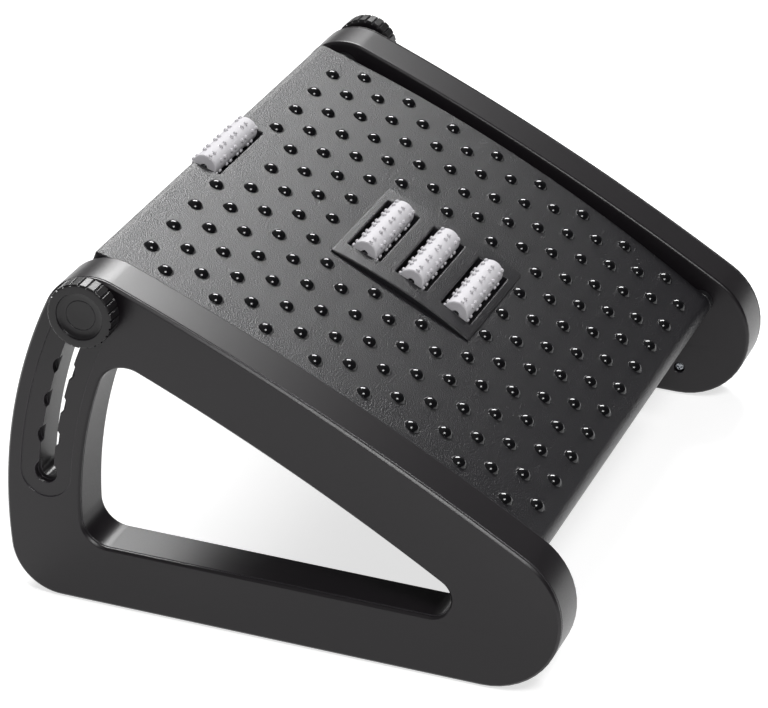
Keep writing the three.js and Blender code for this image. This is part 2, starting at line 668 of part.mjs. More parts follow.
function footPlate() {
  const wide = prism(plateOutline(), -PLATE_HALF_WIDTH, PLATE_HALF_WIDTH)
    .add(drum([0, 0], BARREL_RADIUS, -PLATE_HALF_WIDTH, PLATE_HALF_WIDTH));
  const inner = PLATE_HALF_WIDTH - PLATE_SKIN;
  const below = -TOE_SKIRT_DEPTH - OVERRUN;
  const hollowEnd = plateLength - BARREL_RADIUS - HOLLOW_FROM_BARREL;
  const hollow = prism(strip(PLATE_SKIN, hollowEnd, below, -PLATE_SKIN), -inner, inner)
    .subtract(plateRibs()).subtract(nutBoss(-1)).subtract(nutBoss(1));
  const consoleHole = prism(
    strip(consoleStart + CONSOLE_LIP, consoleEnd - CONSOLE_LIP, -PLATE_SKIN - OVERRUN, OVERRUN),
    CONSOLE_LIP - CONSOLE_WIDTH / 2,
    CONSOLE_WIDTH / 2 - CONSOLE_LIP,
  );
  const halfSlot = ROLLER_SLOT_LENGTH / 2;
  const toeSlot = prism(strip(-OVERRUN, TOE_SLOT_DEPTH, below, OVERRUN), -halfSlot, halfSlot)
    .add(axleSlot(TOE_ROLLER_FROM_EDGE, -ROLLER_SINK, -PLATE_SKIN - OVERRUN))
    .add(joined(cradleScrewPlaces().map(([x, d]) => (
      peg(x, d, -PLATE_SKIN - OVERRUN, -CRADLE_SCREW_COVER, TRAY_SCREW_RADIUS + GAP)
    ))));
  const rodBore = drum([0, 0], ROD_RADIUS + GAP, -HALF_WIDTH, HALF_WIDTH);
  const bores = [-1, 1].flatMap((side) => [
    drum(
      [0, 0],
      ROD_RADIUS + GAP + BUSH_WALL + GAP,
      side * (PLATE_HALF_WIDTH - BUSH_LENGTH - GAP),
      side * HALF_WIDTH,
    ),
    drum(clampPlace, BOLT_RADIUS + GAP, side * HALF_WIDTH, side * (nutOuterX - NUT_BOSS_DEPTH)),
    hexDrum(clampPlace, NUT_ACROSS_FLATS + GAP * 2, side * nutOuterX, side * (nutOuterX - NUT_BOSS_DEPTH)),
  ]);
  return wide.subtract(hollow).subtract(consoleHole).add(domes())
    .subtract(toeSlot).subtract(rodBore).subtract(joined(bores));
}

// Rollers, in a frame whose X is the axle.
function roller() {
  const half = ROLLER_LENGTH / 2;
  const bore = AXLE_RADIUS + GAP;
  const side = [
    [bore, half - ROLLER_RECESS_DEPTH],
    [ROLLER_RECESS_RADIUS, half - ROLLER_RECESS_DEPTH],
    [ROLLER_RECESS_RADIUS, half],
    [ROLLER_RADIUS, half],
  ];
  const otherSide = side.map(([r, x]) => [r, -x]);
  const profile = [...otherSide, ...side.reverse(), otherSide[0]];
  const points = profile.map(([r, x]) => new THREE.Vector2(r, x));
  const geometry = new THREE.LatheGeometry(points, ROUND_SIDES);
  geometry.rotateZ(-Math.PI / 2);
  const pitch = ROLLER_LENGTH / NUBS_PER_ROW;
  const nubs = [];
  for (let row = 0; row < NUB_ROWS; row += 1) {
    const shift = NUB_STAGGER_SHARES[row % NUB_STAGGER_SHARES.length];
    for (let i = 0; i < NUBS_PER_ROW; i += 1) {
      nubs.push(nub((i + shift) * pitch - half, 2 * Math.PI * (row / NUB_ROWS + 1 / 2 / ROUND_SIDES)));
    }
  }
  return toSolid(geometry).add(joined(nubs));
}

function nub(x, angle) {
  const narrow = NUB_WIDTH * NUB_TOP_SHARE / 2;
  const geometry = new THREE.CylinderGeometry(narrow, NUB_WIDTH / 2, NUB_HEIGHT + GAP, NUB_SIDES);
  geometry.translate(0, ROLLER_RADIUS * Math.cos(Math.PI / ROUND_SIDES) + (NUB_HEIGHT - GAP) / 2, 0);
  geometry.rotateX(angle);
  geometry.translate(x, 0, 0);
  return toSolid(geometry);
}

function axle() {
  return drum([0, 0], AXLE_RADIUS, -AXLE_LENGTH / 2, AXLE_LENGTH / 2, SMALL_SIDES);
}

// The console's crowned top stands CONSOLE_RISE over the plate at its middle.
const crownCentre = onPlate(CONSOLE_FROM_TOE, CONSOLE_RISE - CONSOLE_CROWN_RADIUS);

function consoleTop() {
  const middle = archAngle(CONSOLE_FROM_TOE);
  const half = CONSOLE_LENGTH / 2 / CONSOLE_CROWN_RADIUS;
  return arc(crownCentre, CONSOLE_CROWN_RADIUS, middle - half, middle + half);
}

const consoleRollerDistances = Array.from({ length: CONSOLE_ROLLERS }, (_, i) => (
  CONSOLE_FROM_TOE + (i - (CONSOLE_ROLLERS - 1) / 2) * CONSOLE_ROLLER_PITCH
));

function crownHeight(fromToe) {
  const offset = fromToe - CONSOLE_FROM_TOE;
  const drop = offset ** 2 / 2 * (1 / CONSOLE_CROWN_RADIUS - 1 / PLATE_ARCH_RADIUS);
  return CONSOLE_RISE - drop;
}

function rollerPlace(fromToe) {
  return onPlate(fromToe, crownHeight(fromToe) - ROLLER_SINK);
}

const toeRollerPlace = onPlate(TOE_ROLLER_FROM_EDGE, -ROLLER_SINK);

function rollerCover() {
  const underside = arc(
    arch,
    PLATE_ARCH_RADIUS + GAP,
    archAngle(consoleEnd),
    archAngle(consoleStart),
  );
  const cap = prism([...consoleTop(), ...underside], -CONSOLE_WIDTH / 2, CONSOLE_WIDTH / 2);
  const inset = CONSOLE_LIP + GAP;
  const plug = prism(
    strip(consoleStart + inset, consoleEnd - inset, -CONSOLE_DEPTH, GAP * 2),
    inset - CONSOLE_WIDTH / 2,
    CONSOLE_WIDTH / 2 - inset,
  );
  const below = -CONSOLE_DEPTH - OVERRUN;
  const halfSlot = ROLLER_SLOT_WIDTH / 2;
  const slots = consoleRollerDistances.map((d) => prism(
    strip(d - halfSlot, d + halfSlot, below, CONSOLE_RISE + OVERRUN),
    -ROLLER_SLOT_LENGTH / 2,
    ROLLER_SLOT_LENGTH / 2,
  ));
  const notches = consoleRollerDistances.map((d) => axleSlot(d, crownHeight(d) - ROLLER_SINK, below));
  const bar = (CONSOLE_ROLLER_PITCH - ROLLER_SLOT_WIDTH) / 2 - CORE_WALL;
  const cores = consoleRollerDistances.slice(1).map((d) => {
    const middle = d - CONSOLE_ROLLER_PITCH / 2;
    return prism(
      strip(middle - bar, middle + bar, below, -CORE_WALL),
      CORE_WALL - ROLLER_SLOT_LENGTH / 2,
      ROLLER_SLOT_LENGTH / 2 - CORE_WALL,
    );
  });
  const screwHoles = trayScrewPlaces().map(([x, d]) => peg(x, d, below, -GAP, TRAY_SCREW_RADIUS + GAP));
  return cap.add(plug).subtract(joined(slots)).subtract(joined(notches)).subtract(joined(cores))
    .subtract(joined(screwHoles));
}

function trayScrewPlaces() {
  const x = CONSOLE_WIDTH / 2 - CONSOLE_LIP - GAP - TRAY_SCREW_HEAD_RADIUS - GAP;
  const between = CONSOLE_ROLLER_PITCH / 2;
  return [-1, 1].flatMap((sx) => [-1, 1].map((sy) => [sx * x, CONSOLE_FROM_TOE + sy * between]));
}

const trayTop = -CONSOLE_DEPTH - GAP;

function rollerTray() {
  const halfWidth = CONSOLE_WIDTH / 2;
  const bottom = trayTop - TRAY_WALL;
  const outer = prism(strip(consoleStart, consoleEnd, bottom, -PLATE_SKIN - GAP), -halfWidth, halfWidth);
  const inside = prism(
    strip(consoleStart + TRAY_WALL, consoleEnd - TRAY_WALL, trayTop, 0),
    TRAY_WALL - halfWidth,
    halfWidth - TRAY_WALL,
  );
  const saddles = consoleRollerDistances.flatMap((d) => [-1, 1].map((side) => {
    const height = crownHeight(d) - ROLLER_SINK - AXLE_RADIUS - GAP;
    const outline = strip(d - AXLE_RADIUS, d + AXLE_RADIUS, trayTop - TRAY_WALL / 2, height);
    return prism(outline, side * (ROLLER_SLOT_LENGTH / 2 + GAP), side * (AXLE_LENGTH / 2 - GAP));
  }));
  const holes = trayScrewPlaces().map(([x, d]) => (
    peg(x, d, bottom - OVERRUN, trayTop + OVERRUN, TRAY_SCREW_RADIUS + GAP)
  ));
  return outer.subtract(inside).add(joined(saddles)).subtract(joined(holes));
}

function plateScrew(x, fromToe, seat, tip) {
  const head = peg(x, fromToe, seat - TRAY_SCREW_HEAD_HEIGHT, seat, TRAY_SCREW_HEAD_RADIUS);
  return head.add(peg(x, fromToe, seat - GAP, tip, TRAY_SCREW_RADIUS));
}

const cradleFloor = -ROLLER_SINK - ROLLER_RADIUS - NUB_HEIGHT - GAP * 2;

// Open-fronted cradle under the toe slot: floor, back wall and two cheeks that hold the axle.
function cradle() {
  const halfInside = ROLLER_SLOT_LENGTH / 2;
  const halfOutside = halfInside + CRADLE_CHEEK;
  const bottom = cradleFloor - CRADLE_WALL;
  const backEnd = TOE_SLOT_DEPTH + GAP + CRADLE_WALL;
  const whole = prism(strip(PLATE_SKIN + GAP, backEnd, bottom, -PLATE_SKIN - GAP), -halfOutside, halfOutside);
  const trough = prism(
    strip(-OVERRUN, backEnd - CRADLE_WALL, cradleFloor, OVERRUN),
    -halfInside,
    halfInside,
  );
  const notch = axleSlot(TOE_ROLLER_FROM_EDGE, -ROLLER_SINK, -ROLLER_SINK - GAP);
  const holes = cradleScrewPlaces().map(([x, d]) => (
    peg(x, d, bottom - OVERRUN, 0, TRAY_SCREW_RADIUS + GAP)
  ));
  return whole.subtract(trough).subtract(notch).subtract(joined(holes));
}

function cradleScrewPlaces() {
  const x = (ROLLER_SLOT_LENGTH + CRADLE_CHEEK) / 2;
  return [-1, 1].map((side) => [side * x, TOE_SLOT_DEPTH - CRADLE_WALL]);
}

// Heel rod, its bushes and end screws, all about the pivot axis.
function heelRod() {
  const half = FRAME_INNER_X + ROD_SOCKET_DEPTH;
  const rod = drum([0, 0], ROD_RADIUS, -half, half);
  const tapEnd = half - ROD_SCREW_DEPTH - GAP;
  const taps = [-1, 1].map((side) => (
    drum([0, 0], ROD_SCREW_RADIUS + GAP, side * tapEnd, side * (half + OVERRUN), SMALL_SIDES)
  ));
  return rod.subtract(joined(taps));
}

function rodScrew(side) {
  const seat = FRAME_INNER_X + ROD_SOCKET_DEPTH + ROD_END_WALL + GAP;
  const end = FRAME_INNER_X + ROD_SOCKET_DEPTH - ROD_SCREW_DEPTH;
  const head = drum([0, 0], ROD_SCREW_HEAD_RADIUS, side * seat, side * (seat + ROD_SCREW_HEAD_HEIGHT));
  return head.add(drum([0, 0], ROD_SCREW_RADIUS, side * end, side * (seat + GAP), SMALL_SIDES));
}

function heelBush(side) {
  const inside = side * (PLATE_HALF_WIDTH - BUSH_LENGTH);
  const face = side * (PLATE_HALF_WIDTH + GAP);
  const sleeve = drum([0, 0], ROD_RADIUS + GAP + BUSH_WALL, inside, face + side * GAP);
  const flange = drum([0, 0], BARREL_RADIUS, face, side * (FRAME_INNER_X - GAP));
  const bore = drum([0, 0], ROD_RADIUS + GAP, inside - side * OVERRUN, side * FRAME_INNER_X);
  return sleeve.add(flange).subtract(bore);
}

// Toe clamp pieces, about the clamp bolt's axis. Distances count outwards from the frame's inner face.
const flangeInner = TRACK_FLOOR + GAP + CLAMP_BACKED_OFF;
const knobBack = flangeInner + FLANGE_THICKNESS + GAP;
const knobFront = knobBack + KNOB_THICKNESS;
const boltSeat = knobBack + KNOB_BACK_WALL;

function notchCollar(side) {
  const x = (depth) => frameX(side, depth);
  return drum([0, 0], FLANGE_RADIUS, x(flangeInner), x(flangeInner + FLANGE_THICKNESS))
    .add(drum([0, 0], COLLAR_RADIUS, x(flangeInner - COLLAR_LENGTH), x(flangeInner + FLANGE_THICKNESS / 2)))
    .subtract(drum([0, 0], BOLT_RADIUS + GAP, x(0), x(knobFront)));
}

function clampBolt(side) {
  const x = (depth) => frameX(side, depth);
  const tip = side * (nutOuterX - NUT_THICKNESS - GAP - BOLT_PAST_NUT);
  const underHead = boltSeat + GAP;
  return hexDrum([0, 0], BOLT_HEAD_ACROSS_FLATS, x(underHead), x(underHead + BOLT_HEAD_HEIGHT))
    .add(drum([0, 0], BOLT_RADIUS, tip, x(underHead + BOLT_HEAD_HEIGHT / 2)));
}

function knob(side) {
  const x = (depth) => frameX(side, depth);
  const outline = [];
  for (let i = 0; i < KNOB_RIDGES * 2; i += 1) {
    const radius = i % 2 === 0 ? KNOB_RADIUS : KNOB_RADIUS - KNOB_RIDGE_HEIGHT;
    const angle = Math.PI * i / KNOB_RIDGES;
    outline.push([radius * Math.cos(angle), radius * Math.sin(angle)]);
  }
  const dishFloor = knobFront - KNOB_DISH_DEPTH;
  return prism(outline, x(knobBack), x(knobFront))
    .subtract(drum([0, 0], KNOB_DISH_RADIUS, x(dishFloor), x(knobFront + OVERRUN), DISH_SIDES))
    .subtract(drum([0, 0], KNOB_CAP_RADIUS + GAP, x(dishFloor - KNOB_CAP_THICKNESS / 2), x(knobFront)))
    .subtract(hexDrum([0, 0], BOLT_HEAD_ACROSS_FLATS + GAP * 2, x(boltSeat), x(knobFront)))
    .subtract(drum([0, 0], BOLT_RADIUS + GAP, x(0), x(knobFront)));
}

function knobCap(side) {
  const seat = knobFront - KNOB_DISH_DEPTH - KNOB_CAP_THICKNESS / 2 + GAP;
  return drum([0, 0], KNOB_CAP_RADIUS, frameX(side, seat), frameX(side, seat + KNOB_CAP_THICKNESS));
}

function clampNut(side) {
  const outer = nutOuterX - GAP;
  return hexDrum([0, 0], NUT_ACROSS_FLATS, side * outer, side * (outer - NUT_THICKNESS))
    .subtract(drum([0, 0], BOLT_RADIUS + GAP, side * HALF_WIDTH, 0));
}

function frictionPad(side) {
  return drum([0, 0], PAD_RADIUS, side * (PLATE_HALF_WIDTH + GAP), side * (FRAME_INNER_X - GAP))
    .subtract(drum([0, 0], BOLT_RADIUS + GAP, side * HALF_WIDTH, 0));
}

// The assembly
function part(parent, name, solid, finish, place = [0, 0, 0]) {
  const mesh = new THREE.Mesh(toGeometry(solid), new THREE.MeshStandardMaterial(finish));
  mesh.name = name;
  mesh.position.set(...place);
  parent.add(mesh);
  return mesh;
}

const footrest = new THREE.Group();
const plate = new THREE.Group();
plate.position.set(0, PIVOT_Y, PIVOT_HEIGHT);
plate.rotation.x = radians(TOP_NOTCH_DEG);
footrest.add(plate);

const sides = [['left', -1], ['right', 1]];
const ends = [['heel', -1], ['toe', 1]];

for (const [name, side] of sides) {
  part(footrest, `${name}_frame_body`, frameBody(side), PLASTIC);
  part(footrest, `${name}_frame_cover`, frameCover(side), PLASTIC);
  screwPlaces.forEach((at, i) => {
    part(footrest, `${name}_frame_screw_${i + 1}`, frameScrew(side, at), STEEL);
  });
  for (const [end, way] of ends) {
    part(footrest, `${name}_${end}_foot`, foot(side, way), RUBBER);
  }
  part(footrest, `${name}_rod_screw`, rodScrew(side), STEEL, [0, PIVOT_Y, PIVOT_HEIGHT]);
  part(plate, `${name}_heel_bush`, heelBush(side), NYLON);
  part(plate, `${name}_clamp_nut`, clampNut(side), STEEL, [0, ...clampPlace]);
  part(plate, `${name}_friction_pad`, frictionPad(side), NYLON, [0, ...clampPlace]);
  part(plate, `${name}_notch_collar`, notchCollar(side), NYLON, [0, ...clampPlace]);
  part(plate, `${name}_clamp_bolt`, clampBolt(side), STEEL, [0, ...clampPlace]);
  part(plate, `${name}_knob`, knob(side), PLASTIC, [0, ...clampPlace]);
  part(plate, `${name}_knob_cap`, knobCap(side), PLASTIC, [0, ...clampPlace]);
}

part(footrest, 'heel_rod', heelRod(), STEEL, [0, PIVOT_Y, PIVOT_HEIGHT]);
part(plate, 'foot_plate', footPlate(), PLATE_PLASTIC);
part(plate, 'roller_cover', rollerCover(), PLATE_PLASTIC);
part(plate, 'roller_tray', rollerTray(), PLATE_PLASTIC);
part(plate, 'toe_roller_cradle', cradle(), PLATE_PLASTIC);
trayScrewPlaces().forEach(([x, d], i) => {
  const seat = trayTop - TRAY_WALL - GAP;
  part(plate, `tray_screw_${i + 1}`, plateScrew(x, d, seat, seat + TRAY_SCREW_LENGTH), STEEL);
});
cradleScrewPlaces().forEach(([x, d], i) => {
  const seat = cradleFloor - CRADLE_WALL - GAP;
  const tip = -CRADLE_SCREW_COVER - GAP;
  part(plate, `cradle_screw_${i + 1}`, plateScrew(x, d, seat, tip), STEEL);
});
consoleRollerDistances.forEach((d, i) => {
  part(plate, `massage_roller_${i + 1}`, roller(), ROLLER_PLASTIC, [0, ...rollerPlace(d)]);
  part(plate, `roller_axle_${i + 1}`, axle(), STEEL, [0, ...rollerPlace(d)]);
});
part(plate, 'toe_roller', roller(), ROLLER_PLASTIC, [0, ...toeRollerPlace]);
part(plate, 'toe_roller_axle', axle(), STEEL, [0, ...toeRollerPlace]);

export default footrest;
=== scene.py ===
from math import acos, atan2, ceil, cos, hypot, pi, radians, sin, sqrt, tau

import bmesh
import bpy
from mathutils import Matrix, Vector
from mathutils.geometry import tessellate_polygon


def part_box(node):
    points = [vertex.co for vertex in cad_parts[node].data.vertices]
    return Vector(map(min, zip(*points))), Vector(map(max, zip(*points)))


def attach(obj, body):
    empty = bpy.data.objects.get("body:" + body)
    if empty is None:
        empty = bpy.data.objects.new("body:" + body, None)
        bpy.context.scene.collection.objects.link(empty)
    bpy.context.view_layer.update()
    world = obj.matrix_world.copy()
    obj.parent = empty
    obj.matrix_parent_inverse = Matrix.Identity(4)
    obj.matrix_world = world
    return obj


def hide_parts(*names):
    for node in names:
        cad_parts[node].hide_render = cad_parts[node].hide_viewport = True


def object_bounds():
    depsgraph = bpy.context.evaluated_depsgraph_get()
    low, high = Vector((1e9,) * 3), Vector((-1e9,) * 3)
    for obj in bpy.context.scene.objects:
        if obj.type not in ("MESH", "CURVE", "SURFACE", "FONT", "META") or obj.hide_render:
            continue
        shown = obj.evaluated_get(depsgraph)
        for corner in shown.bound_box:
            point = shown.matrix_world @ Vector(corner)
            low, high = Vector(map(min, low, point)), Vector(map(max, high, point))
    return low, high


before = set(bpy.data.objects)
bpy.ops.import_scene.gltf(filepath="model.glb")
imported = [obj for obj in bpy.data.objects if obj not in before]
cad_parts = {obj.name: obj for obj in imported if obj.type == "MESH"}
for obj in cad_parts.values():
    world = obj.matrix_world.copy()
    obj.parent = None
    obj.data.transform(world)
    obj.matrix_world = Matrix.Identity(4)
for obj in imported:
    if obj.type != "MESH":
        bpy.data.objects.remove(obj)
cad_box = [list(corner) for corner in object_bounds()]

# Side frame bodies
# Each side frame is a hollow rounded triangle that stands on the floor. Its body is an open injection
# moulding in charcoal polypropylene, with screw posts, the rod's socket and a curved slot moulded in.
PIVOT = (-0.13675, 0.0709)
HEEL_Y = -0.17125
FOOT_PROUD = 0.001
FRAME_INNER_X = 0.1935
FRAME_THICKNESS = 0.0335
COVER_THICKNESS = 0.003
FRAME_WALL = 0.003
INNER_WALL = 0.0035
GAP = 0.0003
CLAMP_RADIUS = 0.2835
LOWEST_NOTCH_DEG = 2
NOTCH_STEP_DEG = 4.7
NOTCH_COUNT = 6
TOP_NOTCH_DEG = LOWEST_NOTCH_DEG + NOTCH_STEP_DEG * (NOTCH_COUNT - 1)
ARM_RADIUS = CLAMP_RADIUS + 0.0245
TOP_CORNER_DEG = TOP_NOTCH_DEG - 2.55
TOP_EDGE_RADIUS = 1.8
FRAME_CORNER_RADII = (0.0455, 0.0326, 0.031)
BOTTOM_BAR_HEIGHT = 0.0375
NOSE_TO_WINDOW = 0.0661
WINDOW_ARM_RADIUS = CLAMP_RADIUS - 0.0221
WINDOW_TOP_DEG = TOP_NOTCH_DEG - 9.2
WINDOW_TOP_EDGE_RADIUS = 1.5
WINDOW_CORNER_RADII = (0.0125, 0.0178, 0.0178)
SLOT_HALF = 0.0046
INNER_SLOT_HALF = 0.0077
INNER_SLOT_DEPTH = 0.0075
INNER_EDGE_ROUNDING = 0.0022
PARTING_CHAMFER = 0.00035
POST_RADIUS = 0.0056
SCREW_HOLE_RADIUS = 0.0018
SCREW_HEAD_HOLE_RADIUS = 0.0037
SCREW_HEAD_DEPTH = 0.004
SCREW_SEAT_THICKNESS = 0.008
SCREWS_PER_FRAME = 4
ROD_RADIUS = 0.004
ROD_SOCKET_DEPTH = 0.016
ROD_BOSS_WALL = 0.0036
ROD_END_WALL = 0.003
ROD_SCREW_HOLE_RADIUS = 0.0025
FOOT_HALF_LENGTH = 0.013
FOOT_RADIUS = 0.01
FOOT_THICKNESS = 0.0026
OVERRUN = 0.002
CORNER_STEPS = 20
EDGE_STEPS = 40
CIRCLE_STEPS = 40
ROUNDING_STEPS = 4
SHARP_DEG = 34
WELD = 1e-7
BODY_DEPTH = FRAME_THICKNESS - COVER_THICKNESS
SIDES = {"left": -1, "right": 1}


def arc(centre, radius, start, end, steps):
    turn = (end - start) / steps
    return [
        (centre[0] + radius * cos(start + turn * i), centre[1] + radius * sin(start + turn * i))
        for i in range(steps + 1)
    ]


def circle(centre, radius, steps=CIRCLE_STEPS):
    return arc(centre, radius, 0, tau, steps)[:-1]


def edge_between(a, b, radius):
    """The directions in which an edge leaves circle a and reaches circle b, and its arc's centre."""
    (ay, az, ar), (by, bz, br) = a, b
    along = atan2(bz - az, by - ay)
    distance = hypot(by - ay, bz - az)
    if radius is None:
        square = along - acos((ar - br) / distance)
        return square, square, None
    to_a, to_b = radius - ar, radius - br
    inner = acos((to_a**2 + distance**2 - to_b**2) / (2 * to_a * distance))
    centre = (ay + to_a * cos(along + inner), az + to_a * sin(along + inner))
    leave = atan2(az - centre[1], ay - centre[0])
    arrive = leave + (atan2(bz - centre[1], by - centre[0]) - leave) % tau
    return leave, arrive, centre


def rounded_loop(corners, edge_radii, grow):
    """A loop of round corners joined by straight edges or by large arcs, offset outwards by grow."""
    grown = [(y, z, r + grow) for y, z, r in corners]
    radii = [r and r + grow for r in edge_radii]
    count = len(grown)
    edges = [edge_between(grown[i], grown[(i + 1) % count], radii[i]) for i in range(count)]
    points = []
    for i, (y, z, r) in enumerate(grown):
        arrive = edges[i - 1][1]
        leave, reach, centre = edges[i]
        points += arc((y, z), r, arrive, arrive + (leave - arrive) % tau, CORNER_STEPS)
        if centre:
            points += arc(centre, radii[i], leave, reach, EDGE_STEPS)[1:-1]
    return points


def at_angle(radius, degrees):
    angle = radians(degrees)
    return PIVOT[0] + radius * cos(angle), PIVOT[1] + radius * sin(angle)


def at_height(radius, height):
    return PIVOT[0] + sqrt(radius**2 - (height - PIVOT[1]) ** 2), height


def frame_triangle(heel_y, low, radii, arm, top_deg, top_edge):
    """An outline with round corners between a level edge, an arc round the pivot and a bowed edge."""
    heel, toe, top = radii
    corners = [
        (heel_y + heel, low + heel, heel),
        (*at_height(arm - toe, low + toe), toe),
        (*at_angle(arm - top, top_deg), top),
    ]
    return lambda grow: rounded_loop(corners, [None, arm, top_edge], grow)


frame_loop = frame_triangle(
    HEEL_Y, FOOT_PROUD, FRAME_CORNER_RADII, ARM_RADIUS, TOP_CORNER_DEG, TOP_EDGE_RADIUS
)
window_loop = frame_triangle(
    HEEL_Y + NOSE_TO_WINDOW,
    FOOT_PROUD + BOTTOM_BAR_HEIGHT,
    WINDOW_CORNER_RADII,
    WINDOW_ARM_RADIUS,
    WINDOW_TOP_DEG,
    WINDOW_TOP_EDGE_RADIUS,
)


def slot_loop(half):
    low, high = radians(LOWEST_NOTCH_DEG), radians(TOP_NOTCH_DEG)
    low_end, high_end = at_angle(CLAMP_RADIUS, LOWEST_NOTCH_DEG), at_angle(CLAMP_RADIUS, TOP_NOTCH_DEG)
    return [
        *arc(PIVOT, CLAMP_RADIUS + half, low, high, EDGE_STEPS),
        *arc(high_end, half, high, high + pi, CORNER_STEPS)[1:],
        *arc(PIVOT, CLAMP_RADIUS - half, high, low, EDGE_STEPS)[1:],
        *arc(low_end, half, low - pi, low, CORNER_STEPS)[1:-1],
    ]


def rounding(radius):
    """Depth and offset of an outline as it rolls round the edge of a face."""
    quarter = [pi / 2 * i / ROUNDING_STEPS for i in range(ROUNDING_STEPS + 1)]
    return [(radius * (1 - cos(a)), radius * (sin(a) - 1)) for a in quarter]


def loft(bm, rings):
    """Walls from ring to ring. Gives the first and the last ring."""
    made = [[bm.verts.new(point) for point in ring] for ring in rings]
    for ring, following in zip(made, made[1:]):
        for i in range(len(ring)):
            bm.faces.new((ring[i - 1], ring[i], following[i], following[i - 1]))
    return made[0], made[-1]


def cap(bm, outside, *holes):
    """A flat face inside one ring and outside the others."""
    rings = [outside, *holes]
    corners = [vertex for ring in rings for vertex in ring]
    for triangle in tessellate_polygon([[vertex.co for vertex in ring] for ring in rings]):
        bm.faces.new([corners[i] for i in triangle])


def closed(bm, rings):
    """A solid of walls from ring to ring between two flat ends."""
    for end in loft(bm, rings):
        cap(bm, end)
    return bm


def along_x(path, outline):
    """Rings at places along X. Each is an outline in Y and Z that depends on a size."""
    return [[(x, y, z) for y, z in outline(size)] for x, size in path]


def round_at(centre, steps=CIRCLE_STEPS):
    return lambda radius: circle(centre, radius, steps)


def through_frame(bm, side, outline, path):
    """Walls of a frame piece, through depths from the frame's inner face and offsets of an outline."""
    return loft(bm, along_x([(side * (FRAME_INNER_X + d), size) for d, size in path], outline))


def middle(node):
    low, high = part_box(node)
    return (low + high) / 2


def screw_places(hand):
    names = [f"{hand}_frame_screw_{i + 1}" for i in range(SCREWS_PER_FRAME)]
    return [tuple(middle(name).yz) for name in names]


def welded(bm, name):
    """The mesh of a solid, with its doubled corners joined and its faces turned outwards."""
    bmesh.ops.remove_doubles(bm, verts=bm.verts, dist=WELD)
    bmesh.ops.recalc_face_normals(bm, faces=bm.faces)
    mesh = bpy.data.meshes.new(name)
    bm.to_mesh(mesh)
    bm.free()
    return mesh


def new_object(name, data):
    made = bpy.data.objects.new(name, data)
    bpy.context.scene.collection.objects.link(made)
    return made


def combined(bm, tool, operation="DIFFERENCE"):
    """The solid bm with another one cut from it, or joined to it."""
    solids = [new_object("solid", welded(solid, "solid")) for solid in (bm, tool)]
    step = solids[0].modifiers.new("step", "BOOLEAN")
    step.operation = operation
    step.solver = "MANIFOLD"
    step.object = solids[1]
    result = bmesh.new()
    result.from_object(solids[0], bpy.context.evaluated_depsgraph_get())
    for solid in solids:
        bpy.data.meshes.remove(solid.data)
    return result


def finished(name, bm, finish):
    """A mesh in its material, with smooth faces that meet in sharp corners."""
    mesh = welded(bm, name)
    mesh.shade_smooth()
    mesh.set_sharp_from_angle(angle=radians(SHARP_DEG))
    mesh.materials.append(finish)
    return mesh


def show(name, mesh, body, nodes, place=Matrix()):
    """A mesh as an object that rides on a body and stands for CAD nodes."""
    made = new_object(name, mesh)
    made.matrix_world = place
    made.modifiers.new("even_shading", "WEIGHTED_NORMAL").keep_sharp = True
    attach(made, body)
    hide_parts(*nodes)


def piece(name, bm, body, finish, nodes, place=Matrix()):
    show(name, finished(name, bm, finish), body, nodes, place)


# A plastic's colours are those of skin, flow clouds and a painted highlight on its rounded edges. Its grain
# has a width and a depth, and its painted edge highlight and edge polish run between two cosines of how far
# a rounded edge turns from its face. Noise mostly stays within GRAIN_RANGE, which the roughness spreads
# over.
POLYPROPYLENE_IOR = 1.49
FINE_GRAIN = (0.0009, 0.00002)
PLASTIC_SPECULAR = 0.41
FLOW_CLOUD = 0.06
FLOW_DETAIL = 3
GRAIN_DETAIL = 2
GRAIN_RANGE = (0.3, 0.7)
MOULDED_EDGE = 0.0006
EDGE_HIGHLIGHT_AND_POLISH_RANGE = (0.995, 0.85)
POLISHED_EDGE = 0.13
BEVEL_SAMPLES = 4


def linear(colour):
    """An sRGB hex colour as the linear colour that a shader takes."""
    shares = [int(colour[i : i + 2], 16) / 255 for i in (1, 3, 5)]
    return [s / 12.92 if s <= 0.04045 else ((s + 0.055) / 1.055) ** 2.4 for s in shares] + [1]


def add(material, kind, inputs, **settings):
    """Adds a node and gives its outputs. An input takes a value or another node's output."""
    made = material.node_tree.nodes.new(f"ShaderNode{kind}")
    for name, value in settings.items():
        setattr(made, name, value)
    for name, value in inputs.items():
        if isinstance(value, bpy.types.NodeSocket):
            material.node_tree.links.new(value, made.inputs[name])
        else:
            made.inputs[name].default_value = value
    return made.outputs


def new_material(name):
    material = bpy.data.materials.new(name)
    material.use_nodes = True
    material.node_tree.nodes.clear()
    return material


